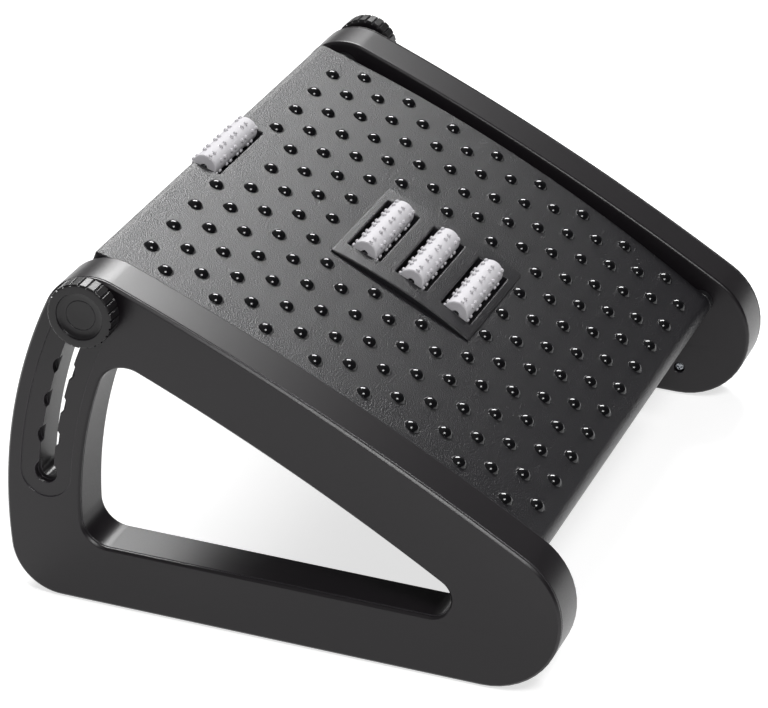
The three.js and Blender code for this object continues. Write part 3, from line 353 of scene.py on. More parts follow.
def moulded(name, colours, roughness, ior=POLYPROPYLENE_IOR, grain=FINE_GRAIN, edge=MOULDED_EDGE):
    """A moulded plastic: faint flow clouds, the tool's grain, and edges that handling has polished,
    lightened by a painted highlight.
    """
    skin, cloud, edge_highlight_colour = [linear(colour) for colour in colours]
    smooth, rough = roughness
    width, depth = grain
    m = new_material(name)
    here = add(m, "TexCoord", {})["Object"]
    flow = add(m, "TexNoise", {"Vector": here, "Scale": 1 / FLOW_CLOUD, "Detail": FLOW_DETAIL})["Fac"]
    sparks = add(m, "TexNoise", {"Vector": here, "Scale": 1 / width, "Detail": GRAIN_DETAIL})["Fac"]
    rounded = add(m, "Bevel", {"Radius": edge}, samples=BEVEL_SAMPLES)["Normal"]
    flat = add(m, "NewGeometry", {})["Normal"]
    facing = add(m, "VectorMath", {0: rounded, 1: flat}, operation="DOT_PRODUCT")["Value"]
    turned_away = {"Value": facing, "From Min": EDGE_HIGHLIGHT_AND_POLISH_RANGE[0], "From Max": EDGE_HIGHLIGHT_AND_POLISH_RANGE[1]}
    # Where a rounded edge turns from its face, the colour takes a painted highlight and the roughness falls
    # to a polish.
    edge_highlight_and_polish = add(m, "MapRange", turned_away)["Result"]
    clouded = add(m, "MixRGB", {"Fac": flow, "Color1": skin, "Color2": cloud})["Color"]
    # Rounded edges are lightened towards the third colour: a painted highlight.
    colour = add(m, "MixRGB", {"Fac": edge_highlight_and_polish, "Color1": clouded, "Color2": edge_highlight_colour})["Color"]
    spread = {"Value": sparks, "From Min": GRAIN_RANGE[0], "From Max": GRAIN_RANGE[1]}
    sheen = add(m, "MapRange", {**spread, "To Min": smooth, "To Max": rough})["Result"]
    polish = {"Value": edge_highlight_and_polish, "To Min": sheen, "To Max": min(smooth, POLISHED_EDGE)}
    gloss = add(m, "MapRange", polish)["Result"]
    relief = {"Height": sparks, "Distance": depth, "Strength": 1, "Normal": rounded}
    texture = add(m, "Bump", relief)["Normal"]
    surface = {"Base Color": colour, "Roughness": gloss, "IOR": ior, "Normal": texture}
    shader = add(m, "BsdfPrincipled", {**surface, "Specular IOR Level": PLASTIC_SPECULAR})
    add(m, "OutputMaterial", {"Surface": shader["BSDF"]})
    return m


# Satin polypropylene, moulded in a lightly spark-eroded tool: an even charcoal skin with a soft sheen.
satin_polypropylene = moulded(
    "satin_polypropylene", colours=("#171417", "#1a171a", "#504d52"), roughness=(0.3, 0.37)
)


def foot_block(node, path):
    """A solid at the place of a rubber foot: a stadium along Y that rises through heights and radii."""
    x, y, _ = middle(node)
    rings = []
    for z, radius in path:
        outline = arc((x, y + FOOT_HALF_LENGTH), radius, 0, pi, CORNER_STEPS)
        outline += arc((x, y - FOOT_HALF_LENGTH), radius, pi, tau, CORNER_STEPS)
        rings.append([(u, v, z) for u, v in outline])
    return closed(bmesh.new(), rings)


def frame_body(hand, side):
    bm = bmesh.new()
    lip = PARTING_CHAMFER
    wall = rounding(INNER_EDGE_ROUNDING)
    wall += [(BODY_DEPTH - lip, 0), (BODY_DEPTH, -lip), (BODY_DEPTH, -FRAME_WALL), (INNER_WALL, -FRAME_WALL)]
    post_end = SCREW_HEAD_DEPTH + SCREW_SEAT_THICKNESS
    post = [
        (0, SCREW_HEAD_HOLE_RADIUS + lip),
        (lip, SCREW_HEAD_HOLE_RADIUS),
        (SCREW_HEAD_DEPTH, SCREW_HEAD_HOLE_RADIUS),
        (SCREW_HEAD_DEPTH, SCREW_HOLE_RADIUS),
        (post_end, SCREW_HOLE_RADIUS),
        (post_end, POST_RADIUS),
        (INNER_WALL, POST_RADIUS),
    ]
    bore = ROD_RADIUS + GAP
    socket_end = ROD_SOCKET_DEPTH + GAP
    boss_end = ROD_SOCKET_DEPTH + ROD_END_WALL
    boss = [
        (0, bore + lip),
        (lip, bore),
        (socket_end, bore),
        (socket_end, ROD_SCREW_HOLE_RADIUS),
        (boss_end, ROD_SCREW_HOLE_RADIUS),
        (boss_end, bore + ROD_BOSS_WALL),
        (INNER_WALL, bore + ROD_BOSS_WALL),
    ]
    slot = [(0, INNER_SLOT_HALF + lip), (lip, INNER_SLOT_HALF), (INNER_WALL, INNER_SLOT_HALF)]
    rings = [
        through_frame(bm, side, frame_loop, wall),
        through_frame(bm, side, window_loop, [(d, -grow) for d, grow in wall]),
        through_frame(bm, side, slot_loop, slot),
        through_frame(bm, side, round_at(PIVOT), boss),
    ]
    rings += [through_frame(bm, side, round_at(at), post) for at in screw_places(hand)]
    for ends in zip(*rings):
        cap(bm, *ends)
    socket = [(-OVERRUN, FOOT_RADIUS + GAP), (FOOT_THICKNESS + GAP, FOOT_RADIUS + GAP)]
    for end in ("heel", "toe"):
        bm = combined(bm, foot_block(f"{hand}_{end}_foot", socket))
    return bm


for hand, side in SIDES.items():
    shell = frame_body(hand, side)
    node = f"{hand}_frame_body"
    piece(f"{hand}_frame_shell", shell, "stand", satin_polypropylene, [node])

# Frame covers
# A flat polypropylene cover closes each body from outside. It carries the shallow track with six
# scalloped notches, and the tunnel in which the clamp bolt slides.
TRACK_HALF = 0.0158
TRACK_DEPTH = 0.0008
TRACK_EDGE = 0.0003
TUNNEL_HALF = 0.0106
SCALLOP_RADIUS = 0.0071
SCALLOP_DEPTH = 0.0045
SCALLOP_EDGE = 0.00025
SCREW_LENGTH = 0.02
TRACK_FLOOR = FRAME_THICKNESS - TRACK_DEPTH
# The outer edge is broken at 45 degrees: depths under the face, and offsets of the outline.
COVER_BROKEN_EDGE = ((0, -0.0016), (0.00014, -0.0013), (0.0013, -0.00014), (0.0016, 0))


def frame_cover(hand, side):
    bm = bmesh.new()
    back = BODY_DEPTH + GAP
    lip = PARTING_CHAMFER
    front = [(FRAME_THICKNESS - d, grow) for d, grow in reversed(COVER_BROKEN_EDGE)]
    edge = [(back, -lip), (back + lip, 0), *front]
    post_start = SCREW_HEAD_DEPTH + SCREW_SEAT_THICKNESS + GAP
    bore_end = SCREW_HEAD_DEPTH + SCREW_LENGTH + OVERRUN
    post = [
        (back, POST_RADIUS - GAP),
        (post_start, POST_RADIUS - GAP),
        (post_start, SCREW_HOLE_RADIUS),
        (bore_end, SCREW_HOLE_RADIUS),
    ]
    outer_back, outer_front = through_frame(bm, side, frame_loop, edge)
    window_back, window_front = through_frame(bm, side, window_loop, [(d, -grow) for d, grow in edge])
    tunnel = [
        (back, TUNNEL_HALF),
        (INNER_WALL + GAP, TUNNEL_HALF),
        (INNER_WALL + GAP, INNER_SLOT_HALF),
        (INNER_SLOT_DEPTH, INNER_SLOT_HALF),
        (INNER_SLOT_DEPTH, SLOT_HALF),
        (TRACK_FLOOR - TRACK_EDGE, SLOT_HALF),
        (TRACK_FLOOR, SLOT_HALF + TRACK_EDGE),
    ]
    tunnel_back, slot_front = through_frame(bm, side, slot_loop, tunnel)
    track = [
        (FRAME_THICKNESS, TRACK_HALF + TRACK_EDGE),
        (FRAME_THICKNESS - TRACK_EDGE, TRACK_HALF),
        (TRACK_FLOOR, TRACK_HALF),
    ]
    track_front, track_floor = through_frame(bm, side, slot_loop, track)
    posts = [through_frame(bm, side, round_at(at), post) for at in screw_places(hand)]
    cap(bm, outer_back, window_back, tunnel_back, *[start for start, _ in posts])
    cap(bm, outer_front, window_front, track_front)
    cap(bm, track_floor, slot_front)
    for _, end in posts:
        cap(bm, end)
    notches = bmesh.new()
    for i in range(NOTCH_COUNT):
        centre = at_angle(CLAMP_RADIUS, LOWEST_NOTCH_DEG + NOTCH_STEP_DEG * i)
        path = [
            (TRACK_FLOOR - SCALLOP_DEPTH, SCALLOP_RADIUS),
            (TRACK_FLOOR - SCALLOP_EDGE, SCALLOP_RADIUS),
            (TRACK_FLOOR, SCALLOP_RADIUS + SCALLOP_EDGE),
            (FRAME_THICKNESS + OVERRUN, SCALLOP_RADIUS + SCALLOP_EDGE),
        ]
        for end in through_frame(notches, side, round_at(centre), path):
            cap(notches, end)
    return combined(bm, notches)


for hand, side in SIDES.items():
    cover = frame_cover(hand, side)
    node = f"{hand}_frame_cover"
    piece(f"{hand}_frame_face", cover, "stand", satin_polypropylene, [node])

# Rubber feet
# Two stadium-shaped pads of black nitrile rubber are pressed into sockets under each frame. Their
# edges are moulded round, and a shallow recess underneath keeps them from sticking to the floor.
FOOT_EDGE = 0.0008
FOOT_RECESS_DEPTH = 0.0003
FOOT_RIM = 0.003

# Nitrile rubber, compression moulded: dull and even, with a fine talc bloom.
moulded_rubber = moulded(
    "moulded_nitrile_rubber",
    colours=("#18181a", "#202022", "#262628"),
    roughness=(0.6, 0.8),
    ior=1.52,
    grain=(0.0006, 0.00003),
)

pad_path = [(FOOT_RECESS_DEPTH, FOOT_RADIUS - FOOT_RIM - FOOT_RECESS_DEPTH)]
pad_path += [(0, FOOT_RADIUS - FOOT_RIM)]
pad_path += [(d, FOOT_RADIUS + grow) for d, grow in rounding(FOOT_EDGE)]
pad_path += [(FOOT_THICKNESS - FOOT_RECESS_DEPTH, FOOT_RADIUS)]
pad_path += [(FOOT_THICKNESS, FOOT_RADIUS - FOOT_RECESS_DEPTH)]
for hand in SIDES:
    for end in ("heel", "toe"):
        node = f"{hand}_{end}_foot"
        pad = foot_block(node, pad_path)
        piece(f"{hand}_{end}_rubber_pad", pad, "stand", moulded_rubber, [node])

# Foot plate
# The foot plate is one arched moulding in grained polypropylene, ribbed underneath, with a rolled heel
# edge that turns on the rod. Small polished domes stand in staggered rows all over it.
ARCH_RADIUS = 1.108
PLATE_REACH = 0.3033
PLATE_EDGE_HEIGHT = 0.0079
BARREL_RADIUS = 0.0081
PLATE_HALF_WIDTH = 0.187
PLATE_SKIN = 0.003
TOE_SKIRT_DEPTH = 0.019
TOE_EDGE_ROUNDING = 0.0008
TOE_EASING_RADIUS = 0.014
TOE_EASING_DEG = 16
TOE_BOTTOM_ROUNDING = 0.001
PLATE_SIDE_ROUNDING = 0.0012
HOLLOW_END = 0.2947
HOLLOW_FLOOR = -0.03
RIB_HALF = 0.0011
RIB_DEPTH = 0.01
LONG_RIBS = (-0.12835, -0.0697, 0.0697, 0.12835)
CROSS_RIBS = (0.0607, 0.2541)
CONSOLE_HALF_WIDTH = 0.0527
CONSOLE_START = 0.1032
CONSOLE_END = 0.2028
CONSOLE_LIP = 0.0036
ROLLER_SLOT_HALF_LENGTH = 0.0371
ROLLER_SLOT_HALF_WIDTH = 0.01125
TOE_SLOT_DEPTH = 0.0182
TOE_ROLLER_FROM_EDGE = 0.0068
SLOT_CORNER = 0.0008
SLOT_RIM = 0.0009
AXLE_RADIUS = 0.0015
AXLE_HALF_LENGTH = 0.042
ROLLER_SINK = 0.0022
CRADLE_SCREW_X = 0.0401
CRADLE_SCREW_FROM_TOE = 0.0158
CRADLE_SCREW_COVER = 0.0008
PLATE_SCREW_RADIUS = 0.0013
SCREW_HOLE_STEPS = 16
BUSH_WALL = 0.0013
BUSH_LENGTH = 0.014
BOLT_RADIUS = 0.0039
HEXAGON = 6
NUT_ACROSS_FLATS = 0.013
NUT_FROM_SIDE = 0.006
NUT_BOSS_DEPTH = 0.01
NUT_BOSS_REACH = 0.0095
DOME_PITCH = 0.034
DOME_COLUMNS = 11
DOME_ROWS = 17
FIRST_DOME_ROW = 0.0221
DOME_RADIUS = 0.005
DOME_HEIGHT = 0.0031
DOME_RINGS = 7
DOME_STEPS = 26
SKIN_TOLERANCE = 0.00001
ALONG_STEP = 0.004
TILT = radians(TOP_NOTCH_DEG)


def in_plate(y, z):
    """A point of the plate's own frame, whose origin is the pivot and whose Y runs to the toe edge."""
    return (
        PIVOT[0] + y * cos(TILT) - z * sin(TILT),
        PIVOT[1] + y * sin(TILT) + z * cos(TILT),
    )


def arch_centre():
    reach = ARCH_RADIUS - BARREL_RADIUS
    distance = hypot(PLATE_REACH, PLATE_EDGE_HEIGHT)
    along = atan2(PLATE_EDGE_HEIGHT, PLATE_REACH)
    inner = acos((reach**2 + distance**2 - ARCH_RADIUS**2) / (2 * reach * distance))
    return in_plate(reach * cos(along - inner), reach * sin(along - inner))


ARCH = arch_centre()
TOE_EDGE = in_plate(PLATE_REACH, PLATE_EDGE_HEIGHT)
TOE_ANGLE = atan2(TOE_EDGE[1] - ARCH[1], TOE_EDGE[0] - ARCH[0])
HEEL_ANGLE = atan2(PIVOT[1] - ARCH[1], PIVOT[0] - ARCH[0])
PLATE_LENGTH = (HEEL_ANGLE - TOE_ANGLE) * ARCH_RADIUS
CLAMP_AXIS = in_plate(CLAMP_RADIUS, 0)


def on_plate(from_toe, height):
    """Y and Z at a distance from the toe edge along the arch, and a height over it."""
    angle = TOE_ANGLE + from_toe / ARCH_RADIUS
    radius = ARCH_RADIUS + height
    return ARCH[0] + radius * cos(angle), ARCH[1] + radius * sin(angle)


def spaced(start, end):
    """Distances from start to end in steps that keep the arch smooth."""
    steps = max(1, ceil(abs(end - start) / ALONG_STEP))
    return [start + (end - start) * i / steps for i in range(steps + 1)]


def skirt_depth(from_toe):
    return TOE_SKIRT_DEPTH + (2 * BARREL_RADIUS - TOE_SKIRT_DEPTH) * from_toe / PLATE_LENGTH


def plate_loop(grow):
    """The plate's side outline: arched top, rolled heel edge, and a skirt that is deeper at the toe."""
    eased = radians(TOE_EASING_DEG)
    inner = TOE_EASING_RADIUS - TOE_EDGE_ROUNDING
    easing_start = inner * sin(eased) + TOE_EDGE_ROUNDING
    top = [on_plate(d, grow) for d in spaced(easing_start, PLATE_LENGTH)]
    barrel = arc(PIVOT, BARREL_RADIUS + grow, HEEL_ANGLE, HEEL_ANGLE + pi, CORNER_STEPS)[1:-1]
    skirt = [on_plate(d, -skirt_depth(d) - grow) for d in spaced(PLATE_LENGTH, TOE_BOTTOM_ROUNDING)]
    low = (TOE_BOTTOM_ROUNDING, TOE_BOTTOM_ROUNDING - TOE_SKIRT_DEPTH)
    high = (TOE_EDGE_ROUNDING, inner * cos(eased) - TOE_EASING_RADIUS)
    flat = (easing_start, -TOE_EASING_RADIUS)
    down, ahead, up = 3 * pi / 2, pi, pi / 2
    toe = arc(low, TOE_BOTTOM_ROUNDING + grow, down, ahead, ROUNDING_STEPS)[1:]
    toe += arc(high, TOE_EDGE_ROUNDING + grow, ahead, up + eased, ROUNDING_STEPS)
    toe += arc(flat, TOE_EASING_RADIUS + grow, up + eased, up, ROUNDING_STEPS)[1:-1]
    return top + barrel + skirt + [on_plate(*point) for point in toe]


def swept(loop, half_width, edge):
    """A loop swept across the plate, with its side edges rounded."""
    right = [(half_width - d, grow) for d, grow in rounding(edge)]
    return closed(bmesh.new(), along_x([(-x, grow) for x, grow in right] + right[::-1], loop))


def bent_block(bm, across, along, heights):
    """A block between two values of X, two distances from the toe edge and two heights over the arch."""
    outline = [on_plate(d, heights[1]) for d in spaced(*along)]
    outline += [on_plate(d, heights[0]) for d in reversed(spaced(*along))]
    return closed(bm, [[(x, y, z) for y, z in outline] for x in across])


def pocket(bm, half_width, along, path, over=lambda from_toe: 0):
    """A cutter with rounded corners that rises through heights over a surface, and grows with them."""
    inner = half_width - SLOT_CORNER
    start, end = along[0] + SLOT_CORNER, along[1] - SLOT_CORNER
    rings = []
    for height, grow in path:
        ring = []
        for i, corner in enumerate([(inner, end), (-inner, end), (-inner, start), (inner, start)]):
            turn = pi / 2 * i
            ring += arc(corner, SLOT_CORNER + grow, turn, turn + pi / 2, ROUNDING_STEPS)
        rings.append([(x, *on_plate(d, over(d) + height)) for x, d in ring])
    return closed(bm, rings)


def flared(bottom):
    """Heights and growth of a slot's cutter: straight walls under a rounded rim."""
    rim = [(-d, -grow) for d, grow in reversed(rounding(SLOT_RIM))]
    return [(bottom, 0), *rim, (OVERRUN, SLOT_RIM)]


def screw_hole(bm, x, from_toe, heights):
    """A round cutter square to the arch."""
    ring = circle((0, 0), PLATE_SCREW_RADIUS + GAP, SCREW_HOLE_STEPS)
    return closed(bm, [[(x + u, *on_plate(from_toe + v, h)) for u, v in ring] for h in heights])


def across_bar(bm, centre, across, radius, steps=CIRCLE_STEPS):
    """A round bar or cutter along X."""
    return closed(bm, along_x([(x, radius) for x in across], round_at(centre, steps)))


def corner_radius(across_flats):
    return across_flats / 2 / cos(pi / HEXAGON)


def dome_places():
    """X and the distance from the toe edge of each dome. Console and toe slot are left free."""
    openings = (
        (CONSOLE_HALF_WIDTH, CONSOLE_START, CONSOLE_END),
        (ROLLER_SLOT_HALF_LENGTH, 0, TOE_SLOT_DEPTH),
    )
    places = []
    for row in range(DOME_ROWS):
        from_toe = FIRST_DOME_ROW + DOME_PITCH / 2 * row
        count = DOME_COLUMNS - 1 + row % 2
        for i in range(count):
            x = (i - (count - 1) / 2) * DOME_PITCH
            touches = [
                abs(x) < half + DOME_RADIUS and start - DOME_RADIUS < from_toe < end + DOME_RADIUS
                for half, start, end in openings
            ]
            if not any(touches) and from_toe + DOME_RADIUS <= PLATE_LENGTH:
                places.append((x, from_toe))
    return places


def dome(bm, x, from_toe):
    ball = (DOME_RADIUS**2 + DOME_HEIGHT**2) / (2 * DOME_HEIGHT)
    start = acos(DOME_RADIUS / ball)
    bend = [start + (pi / 2 - start) * i / DOME_RINGS for i in range(DOME_RINGS)]
    path = [(-PLATE_SKIN / 2, DOME_RADIUS)]
    path += [(DOME_HEIGHT - ball + ball * sin(a), ball * cos(a)) for a in bend]
    outline = circle((0, 0), 1, DOME_STEPS)
    rings = [[(x + r * u, *on_plate(from_toe + r * v, h)) for u, v in outline] for h, r in path]
    low, high = loft(bm, rings)
    cap(bm, low)
    tip = bm.verts.new((x, *on_plate(from_toe, DOME_HEIGHT)))
    for i in range(len(high)):
        bm.faces.new((high[i - 1], high[i], tip))


def plate_hollow():
    """The open underside, less its ribs and the bosses that hold the clamp nuts."""
    inner = PLATE_HALF_WIDTH - PLATE_SKIN
    heights = (HOLLOW_FLOOR, -PLATE_SKIN)
    hollow = bent_block(bmesh.new(), (-inner, inner), (PLATE_SKIN, HOLLOW_END), heights)
    rib = (-PLATE_SKIN - RIB_DEPTH, 0)
    long_ribs, cross_ribs, bosses = bmesh.new(), bmesh.new(), bmesh.new()
    for x in LONG_RIBS:
        bent_block(long_ribs, (x - RIB_HALF, x + RIB_HALF), (0, PLATE_LENGTH), rib)
    for d in CROSS_RIBS:
        bent_block(cross_ribs, (-PLATE_HALF_WIDTH, PLATE_HALF_WIDTH), (d - RIB_HALF, d + RIB_HALF), rib)
    boss = [
        in_plate(CLAMP_RADIUS + a * NUT_BOSS_REACH, b * NUT_BOSS_REACH)
        for a, b in [(-1, -1), (1, -1), (1, 1), (-1, 1)]
    ]
    for side in SIDES.values():
        ends = (side * (inner - NUT_BOSS_DEPTH), side * PLATE_HALF_WIDTH)
        closed(bosses, [[(x, y, z) for y, z in boss] for x in ends])
    for solid in (long_ribs, cross_ribs, bosses):
        hollow = combined(hollow, solid)
    return hollow


def foot_plate():
    bm = combined(swept(plate_loop, PLATE_HALF_WIDTH, PLATE_SIDE_ROUNDING), plate_hollow())
    domes = bmesh.new()
    for x, from_toe in dome_places():
        dome(domes, x, from_toe)
    bm = combined(bm, domes, "UNION")
    inner = CONSOLE_HALF_WIDTH - CONSOLE_LIP
    below = -PLATE_SKIN - OVERRUN
    hole = (CONSOLE_START + CONSOLE_LIP, CONSOLE_END - CONSOLE_LIP)
    cuts = bent_block(bmesh.new(), (-inner, inner), hole, (below, OVERRUN))
    pocket(cuts, ROLLER_SLOT_HALF_LENGTH, (-OVERRUN, TOE_SLOT_DEPTH), flared(-TOE_SKIRT_DEPTH - OVERRUN))
    outer = PLATE_HALF_WIDTH + OVERRUN
    bush_end = PLATE_HALF_WIDTH - BUSH_LENGTH - GAP
    nut_outer = PLATE_HALF_WIDTH - NUT_FROM_SIDE
    nut_inner = nut_outer - NUT_BOSS_DEPTH
    hexagon = corner_radius(NUT_ACROSS_FLATS + 2 * GAP)
    for way in SIDES.values():
        across_bar(cuts, PIVOT, (way * bush_end, way * outer), ROD_RADIUS + GAP + BUSH_WALL + GAP)
        across_bar(cuts, CLAMP_AXIS, (way * nut_outer, way * outer), BOLT_RADIUS + GAP)
        across_bar(cuts, CLAMP_AXIS, (way * nut_inner, way * nut_outer), hexagon, HEXAGON)
        screw_hole(cuts, way * CRADLE_SCREW_X, CRADLE_SCREW_FROM_TOE, (below, -CRADLE_SCREW_COVER))
    bm = combined(bm, cuts)
    groove = AXLE_RADIUS + GAP
    reach = AXLE_HALF_LENGTH + GAP
    along = (TOE_ROLLER_FROM_EDGE - groove, TOE_ROLLER_FROM_EDGE + groove)
    bm = combined(bm, bent_block(bmesh.new(), (-reach, reach), along, (below, groove - ROLLER_SINK)))
    bore = across_bar(bmesh.new(), PIVOT, (-PLATE_HALF_WIDTH, PLATE_HALF_WIDTH), ROD_RADIUS + GAP)
    return combined(bm, bore)


# Grained polypropylene: the tool under the feet is etched, so the satin skin carries a pebbled grain of
# half a millimetre, drawn a little coarser here so that it shows.
grained_polypropylene = moulded(
    "grained_polypropylene",
    colours=("#1b1a1d", "#1f1e21", "#454447"),
    roughness=(0.28, 0.38),
    grain=(0.00085, 0.00038),
)

# The domes are polished in the tool, so they shine and stay darker than the grain round them.
polished_polypropylene = moulded(
    "polished_polypropylene",
    colours=("#0e0e10", "#111113", "#1a1a1c"),
    roughness=(0.1, 0.16),
    grain=(0.0009, 0.000005),
    edge=0.00015,
)

plate_mesh = finished("arched_foot_plate", foot_plate(), grained_polypropylene)
plate_mesh.materials.append(polished_polypropylene)
for face in plate_mesh.polygons:
    over_arch = hypot(face.center.y - ARCH[0], face.center.z - ARCH[1]) - ARCH_RADIUS
    if over_arch > SKIN_TOLERANCE:
        face.material_index = 1
show("arched_foot_plate", plate_mesh, "plate", ["foot_plate"])

# Roller console
# A crowned console, moulded in the same grained polypropylene, is let into a hole in the plate. Three
# slots with rounded rims show the rollers.
CONSOLE_MIDDLE = 0.153
CONSOLE_RISE = 0.0036
CONSOLE_CROWN_RADIUS = 0.366
CONSOLE_EDGE = 0.0009
CONSOLE_DEPTH = 0.01
CORE_HALF = 0.0032
CORE_WALL = 0.0022
ROLLER_PITCH = 0.0333
BETWEEN_ROLLERS = (-0.5, 0.5)
TRAY_SCREW_X = 0.0459


def crown(from_toe):
    flatter = 1 / CONSOLE_CROWN_RADIUS - 1 / ARCH_RADIUS
    return CONSOLE_RISE - (from_toe - CONSOLE_MIDDLE) ** 2 / 2 * flatter


def console_loop(grow):
    start, end = CONSOLE_START + CONSOLE_EDGE, CONSOLE_END - CONSOLE_EDGE
    radius = CONSOLE_EDGE + grow
    toe = arc((start, crown(start) - CONSOLE_EDGE), radius, pi, pi / 2, ROUNDING_STEPS)
    heel = arc((end, crown(end) - CONSOLE_EDGE), radius, pi / 2, 0, ROUNDING_STEPS)
    top = [(d, crown(d) + grow) for d in spaced(start, end)[1:-1]]
    under = [(d, GAP) for d in spaced(CONSOLE_END + grow, CONSOLE_START - grow)]
    return [on_plate(*point) for point in toe + top + heel + under]


def console():
    inset = CONSOLE_LIP + GAP
    inner = CONSOLE_HALF_WIDTH - inset
    along = (CONSOLE_START + inset, CONSOLE_END - inset)
    plug = bent_block(bmesh.new(), (-inner, inner), along, (-CONSOLE_DEPTH, 2 * GAP))
    bm = combined(swept(console_loop, CONSOLE_HALF_WIDTH, CONSOLE_EDGE), plug, "UNION")
    below = -CONSOLE_DEPTH - OVERRUN
    cuts, grooves = bmesh.new(), bmesh.new()
    half = AXLE_RADIUS + GAP
    reach = AXLE_HALF_LENGTH + GAP
    for i in (-1, 0, 1):
        d = CONSOLE_MIDDLE + i * ROLLER_PITCH
        along = (d - ROLLER_SLOT_HALF_WIDTH, d + ROLLER_SLOT_HALF_WIDTH)
        pocket(cuts, ROLLER_SLOT_HALF_LENGTH, along, flared(below - CONSOLE_RISE), crown)
        top = crown(d) - ROLLER_SINK + half
        bent_block(grooves, (-reach, reach), (d - half, d + half), (below, top))
    core = ROLLER_SLOT_HALF_LENGTH - CORE_WALL
    for between in BETWEEN_ROLLERS:
        d = CONSOLE_MIDDLE + between * ROLLER_PITCH
        bent_block(cuts, (-core, core), (d - CORE_HALF, d + CORE_HALF), (below, -CORE_WALL))
        for way in SIDES.values():
            screw_hole(cuts, way * TRAY_SCREW_X, d, (below, -GAP))
    return combined(combined(bm, cuts), grooves)


piece("crowned_console", console(), "plate", grained_polypropylene, ["roller_cover"])

# Massage rollers
# Four rollers moulded in off-white polyethylene turn on steel axles. Pairs of small round nubs stand in
# staggered rows, and each end has a recess round the axle.
ROLLER_HALF_LENGTH = 0.035
ROLLER_RADIUS = 0.00815
ROLLER_CHAMFER = 0.0006
ROLLER_RECESS_RADIUS = 0.0024
ROLLER_RECESS_DEPTH = 0.002
ROLLER_STEPS = 48
NUB_RADIUS = 0.0013
NUB_HEIGHT = 0.0013
NUB_ROWS = 8
NUB_PAIRS = 4
NUB_PAIR_HALF = 0.003
NUB_STAGGER_SHARES = (0.3, 0.7)
NUB_STEPS = 10
NUB_RINGS = 4
CONSOLE_ROLLERS = 3


def chamfered(start, end, radius, edge):
    """A path along X with both outer corners broken."""
    return [(start, radius - edge), (start + edge, radius), (end - edge, radius), (end, radius - edge)]


def turned(centre, side, profile, steps=CIRCLE_STEPS):
    """A ring-shaped solid about X, from a closed profile of places along X and radii."""
    bm = bmesh.new()
    loft(bm, along_x([(side * x, r) for x, r in profile + profile[:1]], round_at(centre, steps)))
    return bm


def roller():
    bore = AXLE_RADIUS + GAP
    half = [
        (ROLLER_HALF_LENGTH - ROLLER_RECESS_DEPTH, bore),
        (ROLLER_HALF_LENGTH - ROLLER_RECESS_DEPTH, ROLLER_RECESS_RADIUS),
        (ROLLER_HALF_LENGTH, ROLLER_RECESS_RADIUS),
        (ROLLER_HALF_LENGTH, ROLLER_RADIUS - ROLLER_CHAMFER),
        (ROLLER_HALF_LENGTH - ROLLER_CHAMFER, ROLLER_RADIUS),
    ]
    profile = half + [(-x, r) for x, r in reversed(half)]
    bm = turned((0, 0), 1, profile, ROLLER_STEPS)
    nubs = bmesh.new()
    pitch = 2 * ROLLER_HALF_LENGTH / NUB_PAIRS
    for row in range(NUB_ROWS):
        angle = TILT + tau * row / NUB_ROWS
        shift = NUB_STAGGER_SHARES[row % 2]
        for pair in range(NUB_PAIRS):
            x = (pair + shift) * pitch - ROLLER_HALF_LENGTH
            for way in (-1, 1):
                nub(nubs, x + way * NUB_PAIR_HALF, angle)
    return combined(bm, nubs, "UNION")


def nub(bm, x, angle):
    bend = [pi / 2 * i / NUB_RINGS for i in range(NUB_RINGS)]
    dome_start = NUB_HEIGHT / 2
    path = [(-NUB_HEIGHT, NUB_RADIUS)]
    path += [(dome_start + dome_start * sin(a), NUB_RADIUS * cos(a)) for a in bend]
    outward = Vector((0, cos(angle), sin(angle)))
    round_about = Vector((0, -sin(angle), cos(angle)))
    rings = []
    for height, radius in path:
        centre = Vector((x, 0, 0)) + outward * (ROLLER_RADIUS + height)
        outline = circle((0, 0), radius, NUB_STEPS)
        rings.append([centre + Vector((u, 0, 0)) + round_about * v for u, v in outline])
    for end in loft(bm, rings):
        bm.faces.new(end)


# High-density polyethylene, moulded off-white: slightly waxy, with a soft broad sheen.
white_polyethylene = moulded(
    "moulded_polyethylene", colours=("#d0ced2", "#cac8cc", "#dddce0"), roughness=(0.65, 0.8), ior=1.54
)

rollers = [(f"console_roller_{i + 1}", f"massage_roller_{i + 1}") for i in range(CONSOLE_ROLLERS)]
rollers.append(("front_roller", "toe_roller"))
roller_mesh = finished("nubbed_roller", roller(), white_polyethylene)
for body, node in rollers:
    place = Matrix.Translation(middle(node))
    show(f"{node}_nubbed", roller_mesh, body, [node], place)

# Tray, cradle and axles
# Under the console a ribbed tray holds three drawn steel axles, and a small cradle under the toe slot holds
# the fourth. Both are moulded like the plate, and keep their CAD meshes from model.glb.
for node in ("roller_tray", "toe_roller_cradle"):
    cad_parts[node].material_slots[0].material = grained_polypropylene

STREAK_DETAIL = 3
TONE_DETAIL = 2
BAR_EDGE = 0.0003
AXLE_CHAMFER = 0.0002


